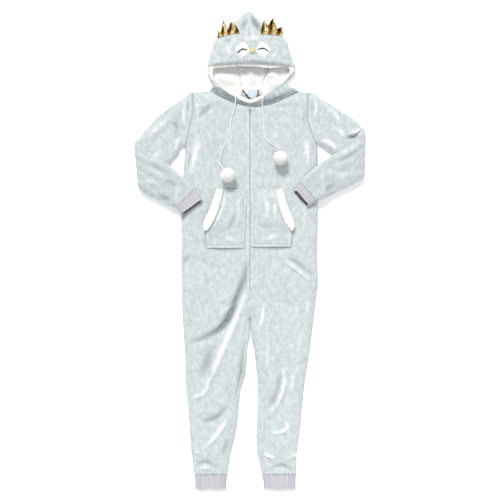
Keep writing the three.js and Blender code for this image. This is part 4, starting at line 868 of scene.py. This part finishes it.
hood_shells = {}
for side, sign in (("right", -1), ("left", 1)):
    shell = cloth("hood_cloth_" + side, 180, 240, hood_place(0, PLUSH, NECK_Y, 838, 12), (620, 600), plush,
                  shut=True)
    middle_x, far_x = 0.15 * sign, -sign * 400
    trimmed(shell, [(far_x, 400), (middle_x, 400), (middle_x, 900), (far_x, 900)])
    trimmed(shell, rounded(SHELL_OPENING), OPENING_CUT_Z)
    dress(shell, plush)
    hood_shells[side] = shell
    stands_for(shell, "hood_shell_" + side)

# The lining is 5 mm cream-white sherpa, a knit with a curled pile, in two sides and a middle panel that runs
# from the label up over the crown. It shows past the plush all round the face opening as a thick soft edge.
SHERPA = 5.0
# sherpa's curls are matt and cream white, with a soft shade between them
sherpa = pile("curled sherpa pile", "#FFFEFC", "#E6E3DC", 9, 3.2, 1.2, Roughness=1.0, Sheen_Weight=0.4)
GUSSET = {"right": (-23, -46), "left": (33, 66)}  # x of the middle panel's seams at the neck and at the rim


def curled(piece, voxel, pitch, height, material):
    """Turns a soft piece into one even skin, and raises the small curls of its pile about a pitch apart, in
    mm."""
    evened = piece.modifiers.new("skin", "REMESH")
    evened.mode, evened.voxel_size = "VOXEL", voxel * MM
    pick(piece)
    bpy.ops.object.modifier_apply(modifier="skin")
    mesh = piece.data
    for vertex, normal in [(v, v.normal.copy()) for v in mesh.vertices]:
        at = vertex.co / (pitch * MM)
        at += 0.5 * Vector((noise.noise(at * 0.7), noise.noise(at * 0.7 + Vector((9, 0, 0))), 0))
        lump = 0.62 - noise.voronoi(at)[0][0]
        fine = noise.noise(at * 2.3)
        vertex.co += normal * (height * (lump + 0.35 * fine)) * MM
    mesh.update()
    dress(piece, material, 80)


def gusset_x(side, y):
    low, top = GUSSET[side]
    return low + (top - low) * (y - 560) / 83


lining = {}
for side in ("right", "left", "centre"):
    panel = cloth("hood_sherpa_" + side, 120, 140, hood_place(PLUSH + SEAM + 1, SHERPA - 1.6, 562.3, 822, 18),
                  (600, 540), sherpa, shut=True)
    lines = {s: [(gusset_x(s, 548), 548), (gusset_x(s, 650), 650), (gusset_x(s, 650) * 0.35, 850)]
             for s in ("right", "left")}
    if side == "centre":
        trimmed(panel, lines["right"] + [(-400, 850), (-400, 548)])
        trimmed(panel, lines["left"] + [(400, 850), (400, 548)])
        trimmed(panel, [(-400, 400), (400, 400), (400, 548), (-400, 548)])
    else:
        far_x = 400 if side == "right" else -400
        trimmed(panel, [(0, 400), (0, 548)] + lines[side] + [(far_x, 850), (far_x, 400)])
    trimmed(panel, rounded(LINING_OPENING), OPENING_CUT_Z)
    curled(panel, 2.1, 5.0, 1.3, sherpa)
    # behind the face the panels bulge, and the side ones run on below the neck seam, past the label
    lie = np.empty(len(panel.data.vertices) * 3)
    panel.data.vertices.foreach_get("co", lie)
    x, y, z = lie.reshape(-1, 3).T / MM
    behind, aside = np.clip((OPENING_CUT_Z - z) / 2, 0, 1), np.abs(x - 5)
    y = y - behind * 34 * np.clip((602 - y) / 38, 0, 1.02) ** 2 * np.clip((aside - 31) / 7, 0, 1) \
        * np.clip((150 - aside) / 40, 0, 1)
    z = z + behind * creased(x, y, LINING_FOLDS)
    # a seam draws the pile down, and the middle panel thins out under the label
    for s in ("right", "left"):
        z = z - behind * (z > 6) * 2.4 * bell(x - gusset_x(s, y), 5)
    if side == "centre":
        under = behind * np.clip((584 - y) / 20, 0, 1)
        y, z = y - 22 * under ** 2, z - under * 0.5 * np.maximum(z - 2.6, 0)
    panel.data.vertices.foreach_set("co", (np.column_stack((x, y, z)) * MM).ravel())
    panel.data.update()
    lining[side] = panel
    stands_for(panel, "hood_lining_" + side)

# The drawstring runs in a casing along the rim of the hood, a doubled band of the plush that its string
# gathers into close puckers. It is topstitched along its upper edge.
hood_top = tops(hood_shells["right"], hood_shells["left"])


def rim_y(x):
    return 654 - 9 * np.abs(x / 140) ** 1.6


CASING_FROM, CASING_TO, CASING_WIDTH = -130, 138, 15.5
hood_line = np.linspace(CASING_FROM, CASING_TO, 91)
casing_heights = [hood_top(hood_line, rim_y(hood_line) + CASING_WIDTH * t + 1) for t in (0.1, 0.9)]


def casing_place(u, v):
    x = CASING_FROM + (CASING_TO - CASING_FROM) * u
    low, high = [np.interp(x, hood_line, heights) for heights in casing_heights]
    gathered = 0.3 + 0.7 * bell(x - 2, 62)
    phase = 2 * np.pi * (24 * u + 0.5 * np.sin(11 * u) + 0.22 * np.sin(37 * u))
    pucker = gathered * (2.8 * (0.5 + 0.5 * np.cos(phase + 1.3 * v)) + 1.0 * np.cos(2.3 * phase))
    round_over = 1.4 * np.sin(np.pi * np.clip(v, 0, 1)) - 0.9 * (1 - np.sin(np.pi * v))
    y = rim_y(x) - 1 + (CASING_WIDTH + 1) * v + gathered * 0.9 * np.sin(phase)
    # the fourth value paints highlights on the puckers and shade between them
    return (x, y, low + (high - low) * v + 2.4 + round_over + pucker * np.sin(np.pi * (0.12 + 0.8 * v)),
            2.2 * (pucker - 1.4) * gathered)


casing = cloth("hood_casing_cloth", 400, 16, casing_place, (300, 17), plush, wall=1.6)
stands_for(casing, "hood_casing")
top_of_casing = tops(casing, *hood_shells.values())
line_x = np.linspace(CASING_FROM + 2, CASING_TO - 2, 100)
line_y = rim_y(line_x) + CASING_WIDTH - 1.5
stitched("hood_casing_stitches", np.column_stack((line_x, line_y, top_of_casing(line_x, line_y))),
         thread_white, 4.4, 3.0, 0.8)

# A nylon coil zip closes the front from the crotch to the neck: two woven tapes under the plush, the coil
# between its edges, and a small pressed slider with its pull tab, closed up to the neck.
ZIP_TOP, ZIP_END, TAPE_DROP, CHAIN = 501, -124, 1.3, 2.9


def twill(name, light, dark, pitch):
    """Ribs of a twill on the slant, a pitch in mm apart, by the piece's UV map in metres."""
    material, tree, shader = finish_named(name, Roughness=0.7, Sheen_Weight=0.15)
    plan = put(tree, "TexCoord").outputs["UV"]
    slanted = put(tree, "Mapping", inputs={"Vector": plan, "Rotation": (0, 0, 0.8)}).outputs[0]
    ribs = put(tree, "TexWave", inputs={"Vector": slanted, "Scale": bands(pitch), "Distortion": 0.6,
                                        "Detail": 2.0}).outputs["Fac"]
    colour = put(tree, "Mix", {"data_type": "RGBA"}, {0: ribs, 6: linear(dark), 7: linear(light)}).outputs[2]
    surface(tree, shader, colour, ribs, 0.25, 0.8)
    return material


def tape_place(u, v):
    x, y = -12 + 24 * u, ZIP_END + (ZIP_TOP - ZIP_END) * v
    return x, y, front_top(x, y) - PLUSH - TAPE_DROP


# polyester tape is flat and pale, with its twill just seen
zip_twill = twill("polyester zip tape", "#DDE2E2", "#C0C6C7", 1.1)
tape = cloth("zip_tape_cloth", 16, 200, tape_place, (24, 625), zip_twill, wall=0.8)
stands_for(tape, "zip_tape")

# nylon monofilament is smooth, so that each turn of the coil has its own small highlight
nylon = finish_named("nylon zip coil", Base_Color=linear("#DADEDF"), Roughness=0.35)[0]
COIL_PITCH = 2.0
bpy.ops.object.select_all(action="DESELECT")
bpy.ops.mesh.primitive_torus_add(major_segments=10, minor_segments=5, major_radius=0.72, minor_radius=0.28)
turn_model = bpy.context.object
coil_y = np.arange(ZIP_END + 1, ZIP_TOP, COIL_PITCH)
coil_z = front_top(np.zeros(len(coil_y)), coil_y) - PLUSH + SEAM - TAPE_DROP + CHAIN / 2
places = []
for k, (y, z) in enumerate(zip(coil_y, coil_z)):
    way = 1 if k % 2 else -1
    places.append(((-0.5 * way, y, z), ((2.0, 0.35 * way, 0), (0, 0, 1.45), (0.2 * 0.35 * way, 1.0, 0))))
coil = copies("zip_coil", turn_model, places, nylon)
stands_for(coil, "zip_chain")

# nickel plate is bright, but fine scuffs soften its gloss
plated, tree, shader = finish_named("nickel-plated zinc", Base_Color=linear("#C6C8CA"), Metallic=1.0)
place_in = put(tree, "TexCoord").outputs["Object"]
scuffs = put(tree, "TexNoise", inputs={"Vector": place_in, "Scale": 1 / (0.9 * MM),
                                       "Detail": 5.0}).outputs["Fac"]
gloss = put(tree, "MapRange", inputs={0: scuffs, 1: 0.3, 2: 0.7, 3: 0.28, 4: 0.5}).outputs[0]
tree.links.new(gloss, shader.inputs["Roughness"])
for name in ("zip_slider", "zip_pull_tab"):
    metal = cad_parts[name]
    metal.data.materials.clear()
    metal.data.materials.append(plated)

# The kangaroo pocket is two halves of plush beside the zip, each stitched down at its top, bottom and inner
# edge. The slanted hand openings stand a little open and are edged with a padded roll of the white sherpa.
POCKETS = {
    "right": [(212, -10, -97, 0), (190, -11, -105, 0.8), (165, -13, -113, 1), (135, -15, -124, 1),
              (108, -17, -137, 1), (84, -18, -150, 0.8), (60, -19, -155, 0.15), (34, -20, -153, 0),
              (8, -21, -150, 0)],
    "left": [(212, 7, 97, 0), (190, 7, 105, 0.8), (165, 7, 114, 1), (135, 6, 125, 1), (108, 6, 135, 1),
             (84, 6, 147, 0.8), (60, 5, 148, 0.15), (34, 5, 144, 0), (12, 5, 142, 0)],
}
POCKET_SWELL = 6.5
POCKET_FOLDS = [
    (-84, 186, -104, 126, -130, 70, 7, 4.5), (-44, 140, -60, 98, -80, 60, 9, -4),
    (-30, 190, -40, 150, -30, 90, 9, 3), (-100, 50, -70, 36, -36, 30, 9, 2.6),
    (46, 196, 60, 150, 50, 90, 10, 3.4), (112, 64, 84, 44, 40, 34, 10, 3), (92, 176, 86, 140, 98, 104, 9, 3.4),
    (28, 90, 60, 80, 96, 88, 10, -3)]
POCKET_STITCHES = 7  # from its edge to its row of stitches
pockets = {}
for side, rows in POCKETS.items():
    rows = np.array(rows, float)[::-1]

    def place(u, v):
        y = rows[0, 0] + (rows[-1, 0] - rows[0, 0]) * v
        inner, outer, opened = [np.interp(y, rows[:, 0], rows[:, k]) for k in (1, 2, 3)]
        t = u if side == "left" else 1 - u
        x = inner + (outer - inner) * t
        swell = POCKET_SWELL * opened * np.sin(np.pi / 2 * np.clip((t - 0.1) / 0.5, 0, 1))
        edge = np.minimum(np.minimum(y - rows[0, 0], rows[-1, 0] - y), np.abs(x - inner))
        stitched_down = 1 - 1.3 * bell(edge - POCKET_STITCHES, 1.8)
        top = front_top(x, y) + SEAM + 0.5 + PLUSH + swell
        wrinkle = creased(x, y, POCKET_FOLDS) * np.clip(edge / 14, 0, 1)
        # painted highlight along the edge and painted shade along the row of stitches, over the creases'
        # painted light
        nap = wrinkle + 2.5 * bell(edge - 3, 2) - 2.5 * bell(edge - 8, 2.5)
        return x, y, top + wrinkle + 1.2 * stitched_down - 0.4, nap

    pocket = pockets[side] = cloth("pocket_cloth_" + side, 60, 84, place, (138, 204), plush, wall=PLUSH)
    stands_for(pocket, "pocket_" + side)
    top_of_pocket = tops(pocket)
    sign = 1 if side == "left" else -1
    y_low, y_high = rows[0, 0] + POCKET_STITCHES, rows[-1, 0] - POCKET_STITCHES

    def inner_x(y):
        return np.interp(y, rows[:, 0], rows[:, 1]) + sign * POCKET_STITCHES

    def outer_x(y):
        return np.interp(y, rows[:, 0], rows[:, 2]) - sign * 6

    path = ([(outer_x(y), y) for y in np.linspace(50, y_low, 8)]
            + [(x, y_low) for x in np.linspace(outer_x(y_low), inner_x(y_low), 24)[1:]]
            + [(inner_x(y), y) for y in np.linspace(y_low, y_high, 30)[1:]]
            + [(x, y_high) for x in np.linspace(inner_x(y_high), outer_x(y_high) - sign * 8, 16)[1:]])
    px, py = np.array(path).T
    seam_line = np.column_stack((px, py, top_of_pocket(px, py)))
    stitched("pocket_stitches_" + side, seam_line, thread_white, 4.2, 3.0, 0.8)

TRIMS = {  # the middle line of the roll, and its width
    "right": [(-106, 214, 26), (-111, 190, 29), (-118, 165, 31), (-128, 135, 34), (-141, 108, 35),
              (-151, 86, 29),
              (-157, 66, 12)],
    "left": [(101, 214, 27), (107, 190, 29), (113, 165, 31), (123, 135, 33), (134, 108, 34), (143, 86, 28),
             (148, 66, 12)],
}
for side, rows in TRIMS.items():
    top_under = tops(fronts[side], pockets[side])
    line, ahead, length = along_line([(x, y, 0) for x, y, width in rows], 61)
    widths = np.interp(line[:, 1], [r[1] for r in rows[::-1]], [r[2] for r in rows[::-1]])
    lowest = np.max([top_under(line[:, 0] - ahead[:, 1] * w * widths, line[:, 1] + ahead[:, 0] * w * widths)
                     for w in (-0.5, -0.25, 0, 0.25, 0.5)], axis=0)
    lowest = smooth(np.arange(61)[::6], [lowest[max(0, k - 4):k + 5].max() for k in range(0, 61, 6)],
                    np.arange(61)) + 0.8

    def place(u, v):
        i = np.rint(v * 60).astype(int)
        end = rounded_ends(v, length, 5)
        turn = 2 * np.pi * u
        s = np.sign(np.cos(turn)) * np.abs(np.cos(turn)) ** 0.7 * 0.5 * (widths[i] - 2) * (0.25 + 0.75 * end)
        t = 0.5 + 0.5 * np.sign(np.sin(turn)) * np.abs(np.sin(turn)) ** 0.8
        return (line[i, 0] - ahead[i, 1] * s, line[i, 1] + ahead[i, 0] * s, lowest[i] + 1 + 4.2 * t * end)

    trim = cloth("pocket_trim_sherpa_" + side, 40, 60, place, (60, 165), sherpa, shut=True)
    bpy.ops.object.mode_set(mode="EDIT")
    bpy.ops.mesh.select_all(action="DESELECT")
    bpy.ops.mesh.select_non_manifold()
    bpy.ops.mesh.edge_face_add()
    bpy.ops.object.mode_set(mode="OBJECT")
    curled(trim, 1.3, 4.4, 1.2, sherpa)
    stands_for(trim, "pocket_trim_" + side)

# The owl's face is sewn on the hood: two leaf-shaped patches of white felt with a closed eye of satin-stitched
# lashes on each, and a small padded beak of gold-yellow cloth between them.
# pressed wool felt is matt, white and nearly even
felt = pile("white wool felt", "#FBFBF8", "#E2E3E2", 7, 0.9, 0.35, Roughness=0.95, Sheen_Weight=0.2)
# rayon thread has a low silky shine along its stitches
lash_thread = finish_named("black rayon embroidery thread", Base_Color=linear("#1B1C1F"), Roughness=0.5)[0]
EYES = {  # the middle, the half width and half height, and the tilt
    "right": (-26.5, 697, 24, 27.5, -0.22), "left": (45.5, 698, 25, 26, 0.1)}
LASHES = {  # a line of points, with the half width of its stitches
    "right": [(-44, 686, 3.2), (-37, 692, 3.4), (-31, 697, 2.6), (-26, 699, 3.6), (-18, 698.5, 2.6),
              (-10, 695.5, 2.2)],
    "left": [(26, 697, 2.0), (34, 700, 2.6), (43, 702, 3.4), (50, 701, 2.8), (58, 696, 2.2), (65, 691, 1.6)],
}
LASH_STITCHES = 90


def disc(u, v):
    """A square grid drawn out to a round one, as x and y from -1 to 1, with the share of its radius."""
    a, b = 2 * u - 1, 2 * v - 1
    x, y = a * np.sqrt(1 - b * b / 2), b * np.sqrt(1 - a * a / 2)
    return x, y, np.hypot(x, y)


def leaf(x, y, across, up, tilt):
    """A round outline drawn in towards the four corners of a leaf shape, sized and turned."""
    draw_in = np.hypot(x, y) / np.maximum((np.abs(x) ** 1.4 + np.abs(y) ** 1.4) ** (1 / 1.4), 1e-9)
    px, py = across * x * draw_in * 1.06, up * y * draw_in * 1.06
    return px * math.cos(tilt) - py * math.sin(tilt), px * math.sin(tilt) + py * math.cos(tilt)


for side, (ex, ey, across, up, tilt) in EYES.items():
    def place(u, v):
        x, y, r = disc(u, v)
        px, py = leaf(x, y, across, up, tilt)
        gx, gy = ex + px, ey + py
        puff = 1.6 * (1 - r ** 6) + 0.5 * np.sin(gx / 6) * (1 - r ** 2)
        return gx, gy, hood_top(gx, gy) + 1.0 + puff

    patch = cloth("eye_felt_" + side, 40, 40, place, (48, 56), felt, wall=1.4)
    stands_for(patch, "eye_patch_" + side)
    on_felt = tops(patch)
    angles = np.linspace(0, 2 * np.pi, 70)
    px, py = leaf(np.cos(angles), np.sin(angles), 0.9 * across, 0.92 * up, tilt)
    gx, gy = ex + px, ey + py
    stitched("eye_stitches_" + side, np.column_stack((gx, gy, on_felt(gx, gy))), thread_white, 3.4, 2.4, 0.7)
    lash = np.array(LASHES[side], float)
    fine, ahead, _ = along_line(np.column_stack((lash[:, :2], np.zeros(len(lash)))), LASH_STITCHES)
    heights = on_felt(fine[:, 0], fine[:, 1])
    widths = np.interp(np.linspace(0, 1, LASH_STITCHES), np.linspace(0, 1, len(lash)), lash[:, 2])
    satin = bead()
    places = [((fine[k, 0], fine[k, 1], heights[k] + 0.3),
               ((-ahead[k, 1] * 2 * widths[k], ahead[k, 0] * 2 * widths[k], 0), ahead[k] * 0.8, (0, 0, 0.9)))
              for k in range(LASH_STITCHES)]
    lashes = copies("eye_lashes_" + side, satin, places, lash_thread)
    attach(lashes, "garment")

# the beak's short nap is matt, and softly pale at its edges
beak_cloth = pile("gold-yellow beak cloth", "#E5DF9C", "#C2B969", 5, 1.0, 0.4, Roughness=0.7, Sheen_Weight=0.3)
BEAK_X, BEAK_Y = 10, 693.5


def beak_place(u, v):
    x, y, r = disc(u, v)
    gx, gy = BEAK_X + 10 * x * (1 + 0.15 * y), BEAK_Y + 9 * y
    padding = 4.6 * np.sqrt(np.clip(1 - r ** 2, 0, 1))
    return gx, gy, hood_top(gx, gy) + 1.0 + padding + 0.3 * np.cos(3 * gx) * (r > 0.7)


beak = cloth("beak_padded", 30, 30, beak_place, (22, 20), beak_cloth, wall=1.0)
stands_for(beak, "beak")

# The ears are crowns of three points in gold lame, a thin metal-coated cloth over a stiff lining, sewn down
# along the foot. Each row is a place on the foot, the one on the upper edge over it, and that one's rise.
EARS = {
    "right": [(-115, 742, -112, 754, 1), (-107, 744, -110, 769, 4), (-99, 746, -102, 757, 1),
              (-92, 748, -92, 806, 7), (-82, 751, -78, 767, 1), (-67, 754, -66, 796, 6),
              (-52, 756, -52, 786, 2), (-37, 757, -38, 765, 0)],
    "left": [(36, 753, 38, 762, 0), (47, 754, 49, 802, 6), (63, 754, 64, 784, 1), (76, 753, 81, 810, 7),
             (91, 752, 94, 772, 1), (104, 751, 111, 778, 5), (115, 751, 117, 758, 1)],
}
# crushed lame is metal all over, with painted shade in dark brown and painted reflections in cream, in
# random facets between its creases
lame, tree, shader = finish_named("crushed gold lame", Metallic=1.0, Roughness=0.24)
place_in = put(tree, "TexCoord").outputs["Object"]
upright = put(tree, "Mapping", inputs={"Vector": place_in, "Scale": (1, 0.5, 1)}).outputs[0]
facets = put(tree, "TexVoronoi", inputs={"Vector": upright, "Scale": 1 / (7 * MM)}).outputs["Color"]
tone = put(tree, "SeparateColor", inputs={0: facets}).outputs[0]
# each point of the crown has painted shade on one flank and a painted highlight on the other, 13 mm of the map
# to a flank
plan = put(tree, "TexCoord").outputs["UV"]
painted_flank_light = put(tree, "TexWave", {"bands_direction": "X"}, {"Vector": plan, "Scale": bands(26), "Distortion": 1.5,
                                                         "Phase Offset": -math.pi / 2}).outputs["Fac"]
fine_tone = put(tree, "TexNoise", inputs={"Vector": upright, "Scale": 1 / (5 * MM),
                                          "Detail": 3.0}).outputs["Fac"]
spread = put(tree, "Math", {"operation": "MULTIPLY_ADD"}, {0: tone, 1: 0.6, 2: painted_flank_light}).outputs[0]
shade = put(tree, "Math", {"operation": "MULTIPLY_ADD"}, {0: fine_tone, 1: 0.5, 2: spread}).outputs[0]
deep = put(tree, "MapRange", inputs={0: shade, 1: 0.5, 2: 1.05}).outputs[0]
pale = put(tree, "MapRange", inputs={0: shade, 1: 1.1, 2: 1.5}).outputs[0]
gold = put(tree, "Mix", {"data_type": "RGBA"}, {0: deep, 6: linear("#4A2E06"), 7: linear("#D8A648")}).outputs[2]
gold_with_painted_light = put(tree, "Mix", {"data_type": "RGBA"}, {0: pale, 6: gold, 7: linear("#FFF0C4")}).outputs[2]
crush = put(tree, "TexVoronoi", inputs={"Vector": upright, "Scale": 1 / (5 * MM)}).outputs["Distance"]
surface(tree, shader, gold_with_painted_light, crush, 1.6, 0.9)
for side, rows in EARS.items():
    rows = np.array(rows, float)
    span = np.arange(len(rows))
    foot_height = hood_top(rows[:, 0], rows[:, 1], 12) + 0.8

    def place(u, v):
        # the points are a little blunt, as the cloth is turned out at them
        where = u * (len(rows) - 1)
        past = where - np.floor(where)
        where = where + 0.7 * (past * past * (3 - 2 * past) - past)
        fx, fy, tx, ty, rise = [np.interp(where, span, column) for column in rows.T]
        x, y = fx + (tx - fx) * v, fy + (ty - fy) * v
        lift = np.maximum(np.interp(where, span, foot_height), hood_top(x, y, 12) + 0.8)
        crumple = np.array([abs(noise.noise(Vector((a / 11, b / 19, 3.0)))) * 9
                            + abs(noise.noise(Vector((a / 5, b / 9, 8.0)))) * 2.6 for a, b in zip(x, y)])
        return x, y, lift + rise * v + 2.5 * v + 2.4 + crumple * np.clip(v * 4, 0, 1)

    ear = cloth("ear_lame_" + side, 84, 44, place, (13 * (len(rows) - 1), 60), lame, wall=1.2, angle=22)
    stands_for(ear, "ear_" + side)
    foot = np.column_stack((rows[:, 0], rows[:, 1] + 2.0, foot_height + 2.6))
    stitched("ear_stitches_" + side, foot, thread_white, 3.4, 2.4, 0.8)

# Inside the back of the neck a bare satin label is sewn to the seam, with a hanging loop of dark twill tape
# round it.
# satin's long floats give the label a smooth shine
satin_cloth, tree, shader = finish_named("woven satin label", Roughness=0.35, Sheen_Weight=0.1)
plan = put(tree, "TexCoord").outputs["UV"]
floats = put(tree, "TexWave", {"bands_direction": "Y"}, {"Vector": plan, "Scale": bands(0.6),
                                                         "Distortion": 0.5}).outputs["Fac"]
colour = put(tree, "Mix", {"data_type": "RGBA"},
             {0: floats, 6: linear("#C9D3DD"), 7: linear("#E6EDF2")}).outputs[2]
surface(tree, shader, colour, floats, 0.15, 0.6)
LABEL_X, LABEL_FOOT, LABEL_WIDTH, LABEL_DEPTH = 9.5, 533, 33, 29


def label_place(u, v):
    # its lower corners are rounded
    inset = np.where(v < 0.45, np.sqrt(np.clip(1 - ((0.45 - v) / 0.45) ** 2, 0.12, 1)), 1)
    return (LABEL_X + LABEL_WIDTH * (u - 0.5) * inset, LABEL_FOOT + LABEL_DEPTH * v,
            7.2 + 0.8 * np.sin(3 * u + 1) + 0.8 * (1 - v))


label = cloth("neck_label_satin", 24, 20, label_place, (LABEL_WIDTH, LABEL_DEPTH), satin_cloth, wall=0.7)
stands_for(label, "neck_label")

LOOP = [(-25, 562, 7.5), (-19, 553, 7.2), (-13, 545, 6.9), (-7, 537, 6.7), (0, 530, 6.6), (9, 526.5, 6.6),
        (18, 529, 6.8), (25, 538, 7), (28, 550, 7.2), (29, 562, 7.5)]
LOOP_WIDTH = 4.4
loop_line, loop_ahead, loop_length = along_line(LOOP, 81)
# cotton tape is matt and dark grey, with its twill just seen
dark_twill = twill("dark twill tape", "#5C6167", "#3C4046", 0.9)


def loop_place(u, v):
    i = np.rint(v * 80).astype(int)
    s = LOOP_WIDTH * (0.5 - u)
    return (loop_line[i, 0] - loop_ahead[i, 1] * s, loop_line[i, 1] + loop_ahead[i, 0] * s,
            loop_line[i, 2] + 1.4 + 0.4 * np.sin(9 * v) - 0.25 * np.abs(2 * u - 1))


loop = cloth("hanging_loop_tape", 6, 80, loop_place, (LOOP_WIDTH, loop_length), dark_twill, wall=0.9)
stands_for(loop, "hanging_loop")

# The floor is a plain white acrylic board, faintly lit from below, so that shadows beside the garment stay
# light. The studio is lit softly from all round, with the brightest soft box beyond the hood.
bpy.ops.object.select_all(action="DESELECT")
bpy.ops.mesh.primitive_plane_add(size=60, location=(0, 0, -0.0005))
floor = bpy.context.object
floor.name = "floor"
# acrylic board is matt and white, with a mottle too faint to see as one
board, tree, shader = finish_named("white acrylic board", Roughness=0.9, Emission_Color=linear("#FFFFFF"),
                                   Emission_Strength=0.2)
place_in = put(tree, "TexCoord").outputs["Object"]
mottle = put(tree, "TexNoise", inputs={"Vector": place_in, "Scale": 3.0, "Detail": 2.0}).outputs["Fac"]
colour = put(tree, "Mix", {"data_type": "RGBA"},
             {0: mottle, 6: linear("#FAFAFA"), 7: linear("#FDFDFD")}).outputs[2]
tree.links.new(colour, shader.inputs["Base Color"])
floor.data.materials.append(board)

world = bpy.data.worlds.new("studio")
bpy.context.scene.world = world
world.use_nodes = True
world.node_tree.nodes["Background"].inputs["Color"].default_value = linear("#F6F8FB")
world.node_tree.nodes["Background"].inputs["Strength"].default_value = 0.5
bpy.context.scene.view_settings.view_transform = "Standard"
LIGHTS = [  # name, kind, place, what it points at, softness in degrees or size in metres, strength
    ("key", "SUN", (-0.75, 3.0, 2.85), (0, 0, 0), 16, 2.7),
    ("foot_fill", "SUN", (1.5, -2.5, 4.5), (0, 0, 0), 50, 0.4),
    ("leg_box", "AREA", (1.0, -1.2, 1.5), (0.15, -0.5, 0), 1.0, 4.5),
]
for name, kind, place, target, softness, strength in LIGHTS:
    aim = (Vector(target) - Vector(place)).to_track_quat("-Z", "Y").to_euler()
    bpy.ops.object.light_add(type=kind, location=place, rotation=aim)
    light = bpy.context.object
    light.name = name
    light.data.energy = strength
    if kind == "SUN":
        light.data.angle = math.radians(softness)
    else:
        light.data.size = softness
